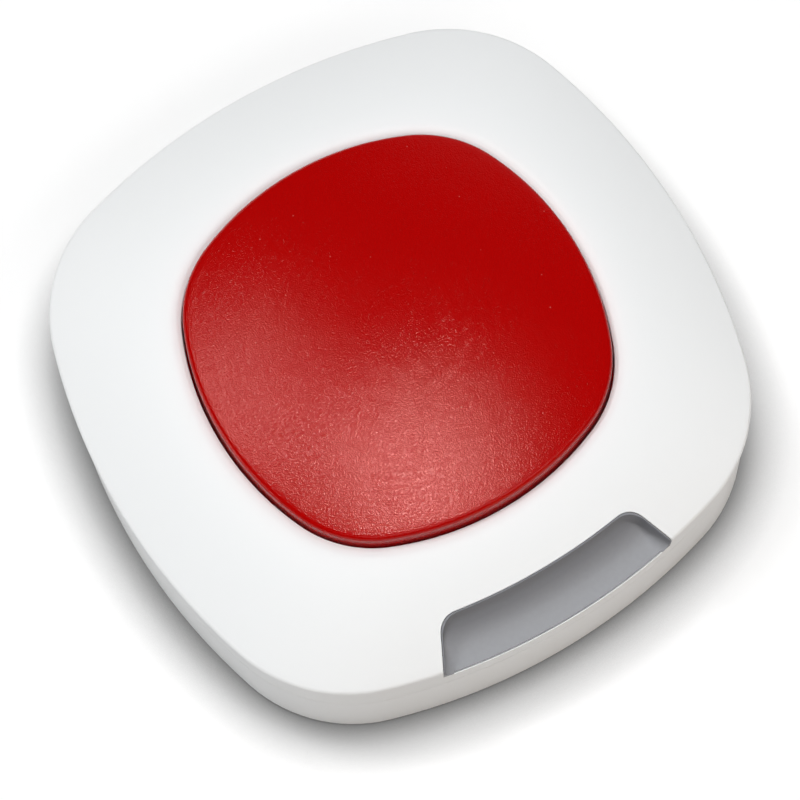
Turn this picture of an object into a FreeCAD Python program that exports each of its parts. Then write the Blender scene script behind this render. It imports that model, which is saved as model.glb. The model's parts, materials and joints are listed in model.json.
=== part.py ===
import FreeCAD, Part
import math
import os
import re
import Sketcher

# Wireless panic button: a bowed square housing with a domed top, a big sprung push cap in a
# collar, a concave light window at the front edge, and a board with two small cells inside.
# Millimetres. +Z is up, the light window is at -Y, and Z = 0 is the table under the rubber feet.

Vector = FreeCAD.Vector

document = FreeCAD.newDocument("panic_button")
sheet = document.addObject("Spreadsheet::Sheet", "Sizes")

# Driving dimensions

SIZES = {
    # Housing outline at the rim, measured before its edge is rounded
    "case_half_width": 42.5,
    "case_side_radius": 84.8,
    "case_corner_radius": 21.2,
    # Heights from the table up: the floor, the cells on it, and the board over the cells
    "floor_stand": 0.5,
    "floor_thickness": 2.0,
    "cell_floor_gap": 0.6,
    "cell_radius": 5.25,
    "cell_top_gap": 0.4,
    "board_thickness": 1.6,
    "board_bottom": "=floor_stand + floor_thickness + cell_floor_gap + 2 * cell_radius + cell_top_gap",
    # Heights of the seam between the two shells, the rim over it and the crest round the opening
    "seam_drop": 3.4,
    "skirt_height": 7.5,
    "dome_rise": 5.75,
    "seam_height": "=board_bottom + board_thickness - seam_drop",
    "rim_height": "=seam_height + skirt_height",
    "crest_height": "=rim_height + dome_rise",
    # Housing walls and edges
    "wall_inset": 2.5,
    "base_taper": 0.65,
    "skirt_taper": 0.5,
    "base_round": 0.8,
    "rim_round": 0.8,
    "dome_wall": 2.2,
    "seam_gap": 0.06,
    "tongue_height": 1.5,
    "tongue_thickness": 0.85,
    "tongue_gap": 0.1,
    # Opening for the push cap, with its sloped border and its collar
    "opening_half_width": 27.0,
    "opening_side_radius": 39.16,
    "opening_corner_radius": 16.07,
    "border_width": 1.7,
    "border_drop": 0.5,
    "collar_thickness": 1.6,
    # Push cap
    "button_gap": 0.3,
    "button_stand": 2.15,
    "button_edge_height": "=crest_height + button_stand",
    "button_rise": 2.4,
    "button_round": 0.8,
    "button_wall": 2.0,
    "button_top": 2.2,
    "button_travel": 1.5,
    "flange_width": 0.9,
    "flange_thickness": 1.3,
    "flange_gap": 0.3,
    "press_clearance": 0.3,
    "collar_bottom": "=board_bottom + board_thickness + press_clearance + button_travel"
                     " + flange_thickness + flange_gap",
    "rib_thickness": 1.2,
    # Light window
    "notch_inset": 6.4,
    "notch_half_width": 14.4,
    "notch_flare": 27.0,
    "notch_corner": 2.8,
    "guide_gap": 0.08,
    "guide_floor": 0.6,
    "guide_lip": 0.8,
    "cove_border": 0.35,
    "cove_drop": 3.2,
    "cove_round": 2.6,
    "cove_floor": "=rim_height - cove_drop",
    "guide_bottom": "=cove_floor - guide_floor",
    "guide_flange_width": 4.6,
    "guide_flange_reach": 3.5,
    "guide_flange_back": 2.9,
    "guide_flange_drop": 2.6,
    "guide_flange_thickness": 1.3,
    "guide_flange_bottom": "=rim_height - guide_flange_drop",
    "guide_leg_inset": 6.8,
    "guide_leg_shift": 2.6,
    "guide_leg_width": 2.0,
    "guide_leg_depth": 2.4,
    # Circuit board
    "board_inset": 4.0,
    "board_scallop": 9.0,
    "scallop_shift": 2.9,
    # Case screws at the corners
    "case_screw_inset": 15.0,
    "case_boss_radius": 3.5,
    "case_post_radius": 4.2,
    "case_screw_radius": 1.45,
    "case_screw_bite": 2.8,
    "case_head_radius": 2.8,
    "case_head_height": 1.9,
    "case_head_seat": 5.0,
    "case_screw_length": "=seam_height - case_head_seat + case_screw_bite",
    "case_head_room": 3.1,
    # Board screws beside the collar
    "board_screw_inset": 9.5,
    "board_screw_along": 10.0,
    "board_boss_radius": 2.7,
    "board_screw_radius": 1.05,
    "board_screw_length": 5.6,
    "board_head_radius": 2.0,
    "board_head_height": 1.3,
    "screw_slack": 0.05,
    "hole_slack": 0.2,
    # Wall screws and rubber feet
    "wall_screw_place": 30.0,
    "wall_screw_radius": 2.2,
    "wall_boss_radius": 5.0,
    "wall_boss_height": 1.5,
    "foot_inset": 9.0,
    "foot_along": 14.0,
    "foot_radius": 4.5,
    "foot_thickness": 1.2,
    # Switch under the cap and its silicone boot
    "switch_width": 6.0,
    "switch_height": 4.0,
    "plunger_radius": 1.75,
    "plunger_proud": 3.0,
    "plunger_depth": 1.6,
    "touch_gap": 0.05,
    "stem_radius": 2.4,
    "boot_foot_radius": 9.0,
    "boot_foot_thickness": 1.0,
    "boot_height": 8.6,
    "boot_top_radius": 5.6,
    "boot_hole_radius": 3.4,
    "boot_wall": 1.1,
    # Cells, their cradle and contacts
    "cell_length": 43.5,
    "cell_nub_radius": 1.9,
    "cell_nub_length": 1.0,
    "cell_spacing": 10.9,
    "cradle_wall": 1.3,
    "cradle_slack": 0.25,
    "cradle_height": 9.4,
    "contact_thickness": 0.4,
    "contact_bow": 3.2,
    "contact_width": 7.0,
    "contact_height": 6.0,
    # Small pieces on the board
    "lamp_spacing": 9.0,
    "lamp_inset": 8.2,
    "lamp_width": 3.2,
    "lamp_depth": 1.8,
    "lamp_case_height": 0.6,
    "lamp_height": 1.2,
    "lens_width": 2.2,
    "lens_depth": 1.4,
    "tamper_inset": 11.5,
    "tamper_along": 18.5,
    "tamper_width": 4.0,
    "tamper_depth": 3.0,
    "tamper_height": 2.5,
    "tamper_pin_radius": 0.8,
    "tamper_pin_depth": 0.8,
    "tamper_proud": 0.9,
    "tamper_post_radius": 1.6,
    "antenna_inset": 7.1,
    "antenna_length": 30.0,
    "antenna_width": 1.8,
    "antenna_height": 3.3,
    "antenna_sheet": 0.4,
    "antenna_leg": 1.0,
    "antenna_feed": 4.5,
    "radio_x": 12.5,
    "radio_y": 12.2,
    "radio_length": 13.0,
    "radio_width": 9.0,
    "radio_thickness": 0.8,
    "shield_shift": 1.0,
    "shield_length": 10.0,
    "shield_width": 8.0,
    "shield_height": 1.7,
    "shield_sheet": 0.2,
    "chip_x": 13.0,
    "chip_y": 10.0,
    "chip_width": 7.0,
    "chip_height": 0.9,
    "crystal_x": 10.0,
    "crystal_y": 16.0,
    "crystal_length": 3.2,
    "crystal_width": 2.5,
    "crystal_height": 0.8,
    "capacitor_x": 14.0,
    "capacitor_y": 12.0,
    "capacitor_radius": 2.5,
    "capacitor_height": 5.0,
}

for row, (alias, number) in enumerate(SIZES.items(), 1):
    sheet.set("A%d" % row, alias)
    sheet.set("B%d" % row, str(number))
    sheet.setAlias("B%d" % row, alias)
document.recompute()


# Helpers

def formula(text):
    """Point every size named in a formula at its cell."""
    def to_cell(found):
        word = found.group(0)
        return "Sizes." + word if word in SIZES else word
    return re.sub(r"[a-z_]+", to_cell, str(text))


def value(text):
    """The number that a formula of sizes gives."""
    return float(sheet.evalExpression(formula(text)))


def bind(item, **formulas):
    for name, text in formulas.items():
        item.setExpression(name, formula(text))
    return item


def place(item, x="0", y="0", z="0"):
    for axis, text in zip("xyz", (x, y, z)):
        item.setExpression("Placement.Base." + axis, formula(text))
    return item


def origin_plane(body, role):
    for item in body.Origin.OriginFeatures:
        if item.Role == role:
            return item
    raise ValueError("no origin plane " + role)


def new_sketch(body, name, role="XY_Plane", level="0"):
    sketch = body.newObject("Sketcher::SketchObject", name)
    sketch.AttachmentSupport = [(origin_plane(body, role), "")]
    sketch.MapMode = "FlatFace"
    sketch.setExpression("AttachmentOffset.Base.z", formula(level))
    return sketch


def constrain(sketch, kind, *where, size=None):
    """Add one constraint, and tie its size to a formula when it has one."""
    if size is None:
        sketch.addConstraint(Sketcher.Constraint(kind, *where))
        return
    number = value(size)
    index = sketch.addConstraint(Sketcher.Constraint(kind, *where, number))
    sketch.setExpression("Constraints[%d]" % index, formula(size))


def fix_point(sketch, line, end, x, y):
    """Hold one end of a line at a place given by two formulas."""
    for kind, text, axis in (("DistanceX", x, -2), ("DistanceY", y, -1)):
        if abs(value(text)) < 1e-9:
            constrain(sketch, "PointOnObject", line, end, axis)
        else:
            constrain(sketch, kind, -1, 1, line, end, size=text)


def add_polygon(sketch, points):
    """A closed outline of straight lines through points given as pairs of formulas."""
    first = sketch.GeometryCount
    spots = [Vector(value(x), value(y), 0) for x, y in points]
    count = len(spots)
    for index in range(count):
        line = Part.LineSegment(spots[index], spots[(index + 1) % count])
        sketch.addGeometry(line, False)
    for index in range(count):
        constrain(sketch, "Coincident", first + index, 2, first + (index + 1) % count, 1)
    for index, (x, y) in enumerate(points):
        fix_point(sketch, first + index, 1, x, y)


# Outlines are (half width, side radius, corner radius): four bowed sides and round corners.

CASE = ("case_half_width", "case_side_radius", "case_corner_radius")
OPENING = ("opening_half_width", "opening_side_radius", "opening_corner_radius")


def inset(outline, distance):
    return tuple("%s - (%s)" % (part, distance) for part in outline)


def between(first, second, share):
    return tuple("(%s) * %.6f + (%s) * %.6f" % (a, 1 - share, b, share) for a, b in zip(first, second))


def outline_sketch(body, name, outline, level):
    """A closed chain of eight arcs, each tangent to the next."""
    half, side, corner = outline
    sketch = new_sketch(body, name, level=level)
    half_now, side_now, corner_now = value(half), value(side), value(corner)
    lean = side_now - half_now
    reach = (math.sqrt(2 * (side_now - corner_now) ** 2 - lean ** 2) - lean) / 2
    turn = math.atan2(reach, reach + lean)
    up = Vector(0, 0, 1)
    for quarter in range(4):
        rotation = FreeCAD.Rotation(up, 90 * quarter)
        start = math.radians(90 * quarter)
        side_circle = Part.Circle(rotation.multVec(Vector(-lean, 0, 0)), up, side_now)
        sketch.addGeometry(Part.ArcOfCircle(side_circle, start - turn, start + turn), False)
        corner_circle = Part.Circle(rotation.multVec(Vector(reach, reach, 0)), up, corner_now)
        end = start + math.pi / 2 - turn
        sketch.addGeometry(Part.ArcOfCircle(corner_circle, start + turn, end), False)
    for arc in range(8):
        constrain(sketch, "Tangent", arc, 2, (arc + 1) % 8, 1)
    for arc in (2, 4, 6):
        constrain(sketch, "Equal", 0, arc)
        constrain(sketch, "Equal", 1, arc + 1)
    for arc, axis in ((0, -1), (2, -2), (4, -1), (6, -2)):
        constrain(sketch, "PointOnObject", arc, 3, axis)
    constrain(sketch, "Radius", 0, size=side)
    constrain(sketch, "Radius", 1, size=corner)
    gap = "(%s) - (%s)" % (side, half)
    constrain(sketch, "DistanceX", 0, 3, -1, 1, size=gap)
    constrain(sketch, "DistanceY", 2, 3, -1, 1, size=gap)
    constrain(sketch, "DistanceX", -1, 1, 4, 3, size=gap)
    constrain(sketch, "DistanceY", -1, 1, 6, 3, size=gap)
    return sketch


def new_body(name):
    return document.addObject("PartDesign::Body", name)


def pad(body, name, sketch, length):
    feature = body.newObject("PartDesign::Pad", name)
    feature.Profile = sketch
    feature.setExpression("Length", formula(length))
    return feature


def loft(body, name, sketches, ruled):
    feature = body.newObject("PartDesign::AdditiveLoft", name)
    feature.Profile = (sketches[0], [""])
    feature.Sections = [(sketch, [""]) for sketch in sketches[1:]]
    feature.Ruled = ruled
    return feature


def prism(name, outline, bottom, top):
    body = new_body(name)
    sketch = outline_sketch(body, name + "_outline", outline, bottom)
    pad(body, name + "_pad", sketch, "(%s) - (%s)" % (top, bottom))
    return body


def taper(name, low_outline, low, high_outline, high):
    """A ruled step between two outlines."""
    body = new_body(name)
    low_sketch = outline_sketch(body, name + "_low", low_outline, low)
    high_sketch = outline_sketch(body, name + "_high", high_outline, high)
    loft(body, name + "_step", [low_sketch, high_sketch], True)
    return body


def turned(name, points):
    """A solid of revolution about Z from a profile of radius and height."""
    body = new_body(name)
    sketch = new_sketch(body, name + "_profile", role="XZ_Plane")
    add_polygon(sketch, points)
    feature = body.newObject("PartDesign::Revolution", name + "_turn")
    feature.Profile = sketch
    feature.ReferenceAxis = (sketch, ["V_Axis"])
    feature.Angle = 360
    return body


def cylinder(name, radius, bottom, top, x="0", y="0"):
    item = document.addObject("Part::Cylinder", name)
    bind(item, Radius=radius, Height="(%s) - (%s)" % (top, bottom))
    return place(item, x, y, bottom)


def block(name, width, depth, bottom, top, x="0", y="0"):
    """A box centred on x and y."""
    item = document.addObject("Part::Box", name)
    bind(item, Length=width, Width=depth, Height="(%s) - (%s)" % (top, bottom))
    return place(item, "(%s) - (%s) / 2" % (x, width), "(%s) - (%s) / 2" % (y, depth), bottom)


def cut(name, base, tool):
    item = document.addObject("Part::Cut", name)
    item.Base = base
    item.Tool = tool
    return item


def fuse(name, items):
    item = document.addObject("Part::MultiFuse", name)
    item.Shapes = items
    return item


def common(name, items):
    item = document.addObject("Part::MultiCommon", name)
    item.Shapes = items
    return item


def edge_names(shape, wanted):
    return ["Edge%d" % index for index, edge in enumerate(shape.Edges, 1) if wanted(edge.BoundBox)]


def round_edges(body, name, feature, radius, wanted):
    """Round the edges of a body's feature whose boxes the test accepts."""
    document.recompute()
    rounding = body.newObject("PartDesign::Fillet", name)
    rounding.Base = (feature, edge_names(feature.Shape, wanted))
    rounding.setExpression("Radius", formula(radius))
    return rounding


def at_height(level):
    """Accept edges that lie flat at one height."""
    height = value(level)
    return lambda box: abs(box.ZMin - height) < 1e-4 and abs(box.ZMax - height) < 1e-4


PIECES = {}


def finish(node, item):
    """Give a finished piece the name of its node."""
    item.Label = node
    PIECES[node] = item
    return item


def corners(across, along):
    """Four mirrored places, as pairs of formulas."""
    return [("%s(%s)" % (a, across), "%s(%s)" % (b, along)) for a in ("", "-") for b in ("", "-")]


# Places and heights that several pieces share

SCREW_PLACE = "(case_half_width - case_screw_inset)"
BOARD_SCREW_PLACE = "(case_half_width - board_screw_inset)"
FOOT_PLACE = "(case_half_width - foot_inset)"
TAMPER_PLACE = "(case_half_width - tamper_inset)"
LAMP_PLACE = "(case_half_width - lamp_inset)"
ANTENNA_PLACE = "(case_half_width - antenna_inset)"

BOARD_TOP = "board_bottom + board_thickness"
UNDER_BOARD = "board_bottom - 2"
ABOVE_BOARD = BOARD_TOP + " + 2"
FLOOR_TOP = "floor_stand + floor_thickness"
SEAM_UNDER = "seam_height - seam_gap"
OPENING_EDGE = "crest_height - border_drop"
ABOVE_ALL = "button_edge_height + button_rise + 5"
FLANGE_TOP = "collar_bottom - flange_gap"
FLANGE_BOTTOM = "collar_bottom - flange_gap - flange_thickness"
PLUNGER_TOP = "board_bottom + board_thickness + switch_height + plunger_proud"


# Front cover: its outer form

DOME_STEPS = 3
DOME_FULLNESS = 1.5


def stacked(name, rings):
    """Ruled steps between outlines that are offsets of each other, so that each face is a cone."""
    steps = []
    for number in range(len(rings) - 1):
        low_outline, low = rings[number]
        high_outline, high = rings[number + 1]
        steps.append(taper("%s_%d" % (name, number + 1), low_outline, low, high_outline, high))
    return fuse(name, steps) if len(steps) > 1 else steps[0]


skirt = stacked("skirt", [
    (inset(CASE, "skirt_taper"), "seam_height"),
    (CASE, "rim_height - rim_round"),
    (inset(CASE, "rim_round * 0.16"), "rim_height - rim_round * 0.45"),
    (inset(CASE, "rim_round * 0.55"), "rim_height - rim_round * 0.14"),
])


def dome(name):
    """The bowed top, lofted from the rim's round edge to the crest round the opening."""
    body = new_body(name)
    crest = inset(OPENING, "-border_width")
    edge = inset(CASE, "rim_round * 0.55")
    bottom = "(rim_height - rim_round * 0.14)"
    sketches = []
    for step in range(DOME_STEPS + 1):
        share = step / DOME_STEPS
        rise = 1 - (1 - share) ** DOME_FULLNESS
        level = "%s + (crest_height - %s) * %.6f" % (bottom, bottom, rise)
        sketch_name = "%s_%d" % (name, step)
        sketches.append(outline_sketch(body, sketch_name, between(edge, crest, share), level))
    loft(body, name + "_loft", sketches, False)
    return body


cover_form = fuse("cover_form", [skirt, dome("dome")])

# Front cover: the hollow inside, with the collar and the bosses left standing in it

hollow_wall = prism("hollow_wall", inset(CASE, "wall_inset"), "seam_height - 1", "rim_height - 1.2")
hollow_roof = taper(
    "hollow_roof",
    inset(OPENING, "opening_half_width - case_half_width + wall_inset + 0.05"), "rim_height - 1.2",
    inset(OPENING, "-border_width - 1"), "crest_height - dome_wall",
)
collar = prism("collar", inset(OPENING, "-collar_thickness"), "collar_bottom", ABOVE_ALL)

case_bosses = []
board_bosses = []
for number, (x, y) in enumerate(corners(SCREW_PLACE, SCREW_PLACE), 1):
    name = "case_boss_%d" % number
    case_bosses.append(cylinder(name, "case_boss_radius", "seam_height", ABOVE_ALL, x, y))
for number, (x, y) in enumerate(corners(BOARD_SCREW_PLACE, "board_screw_along"), 1):
    name = "board_boss_%d" % number
    board_bosses.append(cylinder(name, "board_boss_radius", BOARD_TOP, ABOVE_ALL, x, y))

TAMPER_TOP = "board_bottom + board_thickness + tamper_height + tamper_proud"
tamper_post = cylinder("tamper_post", "tamper_post_radius", TAMPER_TOP, ABOVE_ALL, TAMPER_PLACE, "tamper_along")

hollow = fuse("hollow", [hollow_wall, hollow_roof])
kept_inside = fuse("kept_inside", [collar, tamper_post] + case_bosses + board_bosses)
cover_room = cut("cover_room", hollow, kept_inside)

# Front cover: the opening, its sloped border, the notch for the light window and the pilot holes


def notch_sketch(body, name, border, bottom):
    """A flared notch whose back edge runs parallel to the bowed side of the case."""
    sketch = new_sketch(body, name, level=bottom)
    radius = "case_side_radius - notch_inset + %s" % border
    centre = "case_side_radius - case_half_width"
    shrink = "(1 / cos(notch_flare) - tan(notch_flare))"
    half = "(notch_half_width - %s * %s)" % (border, shrink)
    front = "(case_half_width + 4)"
    radius_now, centre_now, half_now = value(radius), value(centre), value(half)
    back_now = centre_now - math.sqrt(radius_now ** 2 - half_now ** 2)
    front_now = -value(front)
    flare = math.tan(math.radians(value("notch_flare")))
    wide_now = half_now + (back_now - front_now) * flare
    spread = math.asin(half_now / radius_now)
    down = -math.pi / 2
    circle = Part.Circle(Vector(0, centre_now, 0), Vector(0, 0, 1), radius_now)
    sketch.addGeometry(Part.ArcOfCircle(circle, down - spread, down + spread), False)
    right_back = Vector(half_now, back_now, 0)
    right_front = Vector(wide_now, front_now, 0)
    left_front = Vector(-wide_now, front_now, 0)
    left_back = Vector(-half_now, back_now, 0)
    sketch.addGeometry(Part.LineSegment(right_back, right_front), False)
    sketch.addGeometry(Part.LineSegment(right_front, left_front), False)
    sketch.addGeometry(Part.LineSegment(left_front, left_back), False)
    constrain(sketch, "Coincident", 0, 2, 1, 1)
    constrain(sketch, "Coincident", 1, 2, 2, 1)
    constrain(sketch, "Coincident", 2, 2, 3, 1)
    constrain(sketch, "Coincident", 3, 2, 0, 1)
    constrain(sketch, "PointOnObject", 0, 3, -2)
    constrain(sketch, "DistanceY", -1, 1, 0, 3, size=centre)
    constrain(sketch, "Radius", 0, size=radius)
    constrain(sketch, "Symmetric", 0, 1, 0, 2, -2)
    constrain(sketch, "DistanceX", 0, 1, 0, 2, size="2 * %s" % half)
    constrain(sketch, "Symmetric", 1, 2, 2, 2, -2)
    constrain(sketch, "DistanceY", 1, 2, -1, 1, size=front)
    reach = "(%s - sqrt((%s) ^ 2 - %s ^ 2) + %s)" % (front, radius, half, centre)
    constrain(sketch, "DistanceX", 0, 2, 1, 2, size="%s * tan(notch_flare)" % reach)
    return sketch


def notch(name, border, bottom, corner):
    body = new_body(name)
    sketch = notch_sketch(body, name + "_outline", border, bottom)
    deep = pad(body, name + "_pad", sketch, "%s - (%s)" % (ABOVE_ALL, bottom))
    front = -value("case_half_width") - 1
    upright = lambda box: box.ZLength > 5 and box.XLength < 0.01 and box.YMin > front
    round_edges(body, name + "_corners", deep, corner, upright)
    return body


opening = prism("opening", OPENING, "seam_height - 1", ABOVE_ALL)
border = taper(
    "border",
    OPENING, OPENING_EDGE,
    inset(OPENING, "-border_width * 1.5"), OPENING_EDGE + " + border_drop * 1.5",
)
rebate_top = SEAM_UNDER + " + tongue_height + tongue_gap"
rebate_edge = "wall_inset - tongue_thickness - tongue_gap"
rebate = cut(
    "rebate",
    prism("rebate_outer", inset(CASE, rebate_edge), "seam_height - 1", rebate_top),
    prism("rebate_inner", inset(CASE, "wall_inset"), "seam_height - 2", rebate_top + " + 1"),
)
case_pilots = []
for number, (x, y) in enumerate(corners(SCREW_PLACE, SCREW_PLACE), 1):
    radius = "case_screw_radius + screw_slack"
    top = "case_head_seat + case_screw_length + 0.5"
    case_pilots.append(cylinder("case_pilot_%d" % number, radius, "seam_height - 1", top, x, y))
for number, (x, y) in enumerate(corners(BOARD_SCREW_PLACE, "board_screw_along"), 1):
    radius = "board_screw_radius + screw_slack"
    top = "board_bottom + board_screw_length + 0.5"
    case_pilots.append(cylinder("board_pilot_%d" % number, radius, "board_bottom", top, x, y))
window_notch = notch("window_notch", "0", "cove_floor", "notch_corner")
window_seat = common("window_seat", [
    notch("window_seat_form", "0", "guide_bottom - guide_gap", "notch_corner"),
    prism("window_seat_limit", inset(CASE, "guide_lip"), "seam_height", "cove_floor + 1"),
])

cover_cuts = fuse(
    "cover_cuts",
    [cover_room, opening, border, rebate, window_notch, window_seat] + case_pilots,
)
finish("front_cover", cut("front_cover", cover_form, cover_cuts))

# Light window: a scoop flush with the dome, whose floor ends behind the lip of the cover's skirt

window_block = common("window_block", [
    cover_form,
    notch("window_form", "guide_gap", "guide_bottom", "notch_corner - guide_gap"),
])
lip_room = cut(
    "lip_room",
    prism("lip_room_outer", inset(CASE, "-1"), "seam_height", "cove_floor + guide_gap"),
    prism("lip_room_inner", inset(CASE, "guide_lip + guide_gap"), "seam_height - 1", "cove_floor + 1"),
)
FLANGE_LEVELS = ("guide_flange_bottom", "guide_flange_bottom + guide_flange_thickness")
guide_flange = common("guide_flange", [
    prism("flange_limit", inset(CASE, "wall_inset + cradle_slack"), *FLANGE_LEVELS),
    block("flange_form", "2 * (notch_half_width + guide_flange_width)", "2 * guide_flange_reach",
          *FLANGE_LEVELS, "0",
          "-(case_half_width - notch_inset + guide_flange_reach - guide_flange_back)"),
])
LEG_PLACE = "(notch_half_width + guide_leg_shift)"
guide_legs = [
    block("guide_leg_%d" % number, "guide_leg_width", "guide_leg_depth", BOARD_TOP,
          "guide_flange_bottom + guide_flange_thickness / 2", x, "guide_leg_inset - case_half_width")
    for number, x in enumerate((LEG_PLACE, "-" + LEG_PLACE), 1)
]
guide_body = fuse("guide_body", [cut("window_block_cut", window_block, lip_room), guide_flange] + guide_legs)


def cove(name):
    body = new_body(name)
    sketch = notch_sketch(body, name + "_outline", "cove_border", "cove_floor")
    deep = pad(body, name + "_pad", sketch, "%s - cove_floor" % ABOVE_ALL)
    front = -value("case_half_width") - 1
    upright = lambda box: box.ZLength > 5 and box.XLength < 0.01 and box.YMin > front
    cornered = round_edges(body, name + "_corners", deep, "cove_round + 0.6", upright)
    low = at_height("cove_floor")
    inner = lambda box: low(box) and not (box.YMax < front)
    round_edges(body, name + "_floor", cornered, "cove_round", inner)
    return body


guide_cut = cut("guide_cut", guide_body, cove("cove"))
finish("light_guide", guide_cut)


# Rear housing: floor, walls and a tongue that fits inside the cover

base = stacked("base", [
    (inset(CASE, "base_taper + base_round * 0.55"), "floor_stand"),
    (inset(CASE, "base_taper + base_round * 0.12"), "floor_stand + base_round * 0.45"),
    (inset(CASE, "base_taper"), "floor_stand + base_round"),
    (inset(CASE, "skirt_taper"), SEAM_UNDER),
])
TONGUE_TOP = SEAM_UNDER + " + tongue_height"
tongue = prism("tongue", inset(CASE, "wall_inset - tongue_thickness"), "seam_height - 2", TONGUE_TOP)
base_room = prism("base_room", inset(CASE, "wall_inset"), FLOOR_TOP, ABOVE_ALL)
base_shell = cut("base_shell", fuse("base_form", [base, tongue]), base_room)

base_posts = []
base_holes = []
for number, (x, y) in enumerate(corners(SCREW_PLACE, SCREW_PLACE), 1):
    post = "case_post_%d" % number
    base_posts.append(cylinder(post, "case_post_radius", "floor_stand + 1", SEAM_UNDER, x, y))
    room = "case_head_room_%d" % number
    base_holes.append(cylinder(room, "case_head_room", "0", "case_head_seat", x, y))
    way = "case_screw_way_%d" % number
    radius = "case_screw_radius + hole_slack"
    base_holes.append(cylinder(way, radius, "case_head_seat - 1", "seam_height + 1", x, y))
for number, y in enumerate(("wall_screw_place", "-wall_screw_place"), 1):
    top = FLOOR_TOP + " + wall_boss_height"
    base_posts.append(cylinder("wall_boss_%d" % number, "wall_boss_radius", "floor_stand + 1", top, "0", y))
    base_holes.append(cylinder("wall_hole_%d" % number, "wall_screw_radius", "0", top + " + 1", "0", y))
for number, (x, y) in enumerate(corners(FOOT_PLACE, "foot_along"), 1):
    recess = "foot_recess_%d" % number
    base_holes.append(cylinder(recess, "foot_radius + 0.1", "0", "foot_thickness", x, y))

base_whole = fuse("base_whole", [base_shell] + base_posts)
finish("rear_housing", cut("rear_housing", base_whole, fuse("base_holes", base_holes)))

# Push cap: a shallow ball-shaped top on a skirt, with a stop flange that catches under the collar

BUTTON = inset(OPENING, "button_gap")
BUTTON_IN = inset(OPENING, "button_gap + button_wall")
BALL_RADIUS = "((opening_half_width - button_gap) ^ 2 + button_rise ^ 2) / (2 * button_rise)"
BUTTON_TOP = "(button_edge_height + button_rise)"


def ball(name, radius, top):
    """A big ball whose seam points down, so that its top is one clean face."""
    item = document.addObject("Part::Sphere", name)
    bind(item, Radius=radius)
    item.Placement = FreeCAD.Placement(Vector(0, 0, 0), FreeCAD.Rotation(Vector(0, 1, 0), 90))
    item.setExpression("Placement.Base.z", formula("%s - (%s)" % (top, radius)))
    return item


outer_ball = ball("outer_ball", BALL_RADIUS, BUTTON_TOP)
inner_ball = ball("inner_ball", BALL_RADIUS + " - button_top", BUTTON_TOP + " - button_top")
button_block = common("button_block", [
    prism("button_prism", BUTTON, FLANGE_BOTTOM, BUTTON_TOP + " + 1"),
    outer_ball,
])
button_room = common("button_room", [
    prism("button_room_prism", BUTTON_IN, FLANGE_BOTTOM + " - 1", BUTTON_TOP + " + 1"),
    inner_ball,
])
document.recompute()
low_rim = value("button_edge_height") - 2
soft_block = document.addObject("Part::Chamfer", "soft_block")
soft_block.Base = button_block
soft_edges = []
for index, edge in enumerate(button_block.Shape.Edges, 1):
    if edge.BoundBox.ZMin > low_rim and edge.BoundBox.ZLength < 2:
        soft_edges.append((index, value("button_round"), value("button_round")))
soft_block.Edges = soft_edges
flange = prism("button_flange", inset(OPENING, "-flange_width"), FLANGE_BOTTOM, FLANGE_TOP)
button_shell = cut("button_shell", fuse("button_whole", [soft_block, flange]), button_room)

BOOT_TOP = "board_bottom + board_thickness + boot_height + touch_gap"
button_ribs = [
    cylinder("button_stem", "stem_radius", PLUNGER_TOP + " + touch_gap", BUTTON_TOP),
    cut(
        "button_seat",
        cylinder("button_seat_outer", "boot_top_radius", BOOT_TOP, BUTTON_TOP),
        cylinder("button_seat_inner", "boot_top_radius - 1.6", "0", ABOVE_ALL),
    ),
    block("button_rib_across", "2 * opening_half_width - 3", "rib_thickness", BOOT_TOP, BUTTON_TOP),
    block("button_rib_along", "rib_thickness", "2 * opening_half_width - 3", BOOT_TOP, BUTTON_TOP),
]
inner_frame = common("inner_frame", [
    fuse("rib_set", button_ribs),
    prism("rib_limit", inset(OPENING, "button_gap + button_wall - 0.5"), "seam_height", ABOVE_ALL),
    ball("rib_ball", BALL_RADIUS + " - button_top + 0.5", BUTTON_TOP + " - button_top + 0.5"),
])
finish("panic_button", fuse("panic_button", [button_shell, inner_frame]))

# Circuit board with its scalloped corners and its holes

SCALLOP_PLACE = "(case_half_width - case_screw_inset + scallop_shift)"
board_form = prism("board_form", inset(CASE, "board_inset"), "board_bottom", BOARD_TOP)
board_holes = []
for number, (x, y) in enumerate(corners(SCALLOP_PLACE, SCALLOP_PLACE), 1):
    board_holes.append(cylinder("board_scallop_%d" % number, "board_scallop", UNDER_BOARD, ABOVE_BOARD, x, y))
for number, (x, y) in enumerate(corners(BOARD_SCREW_PLACE, "board_screw_along"), 1):
    radius = "board_screw_radius + hole_slack"
    board_holes.append(cylinder("board_screw_way_%d" % number, radius, UNDER_BOARD, ABOVE_BOARD, x, y))

CRADLE_ACROSS = "(cell_length / 2 + cell_nub_length / 2 + contact_bow + cradle_wall - 0.75)"
CRADLE_ALONG = "(cell_spacing / 2 + cell_radius + cradle_slack + cradle_wall)"
CONTACT_X = "(cell_length / 2 + cell_nub_length / 2 + contact_bow - 0.75 - contact_thickness / 2)"
CELL_Z = "(board_bottom - cell_top_gap - cell_radius)"
CELL_Y = "(cell_spacing / 2)"

finish("circuit_board", cut("circuit_board", board_form, fuse("board_holes", board_holes)))

# Switch under the middle of the cap, its plunger and the silicone boot that lifts the cap

SWITCH_TOP = "board_bottom + board_thickness + switch_height"
switch_block = block("switch_block", "switch_width", "switch_width", BOARD_TOP, SWITCH_TOP)
switch_collar = cylinder("switch_collar", "plunger_radius + 0.7", BOARD_TOP, SWITCH_TOP + " + 0.4")
switch_bore = cylinder(
    "switch_bore", "plunger_radius + touch_gap",
    SWITCH_TOP + " - plunger_depth - button_travel - 0.2", ABOVE_ALL,
)
finish("switch_body", cut("switch_body", fuse("switch_form", [switch_block, switch_collar]), switch_bore))

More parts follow.
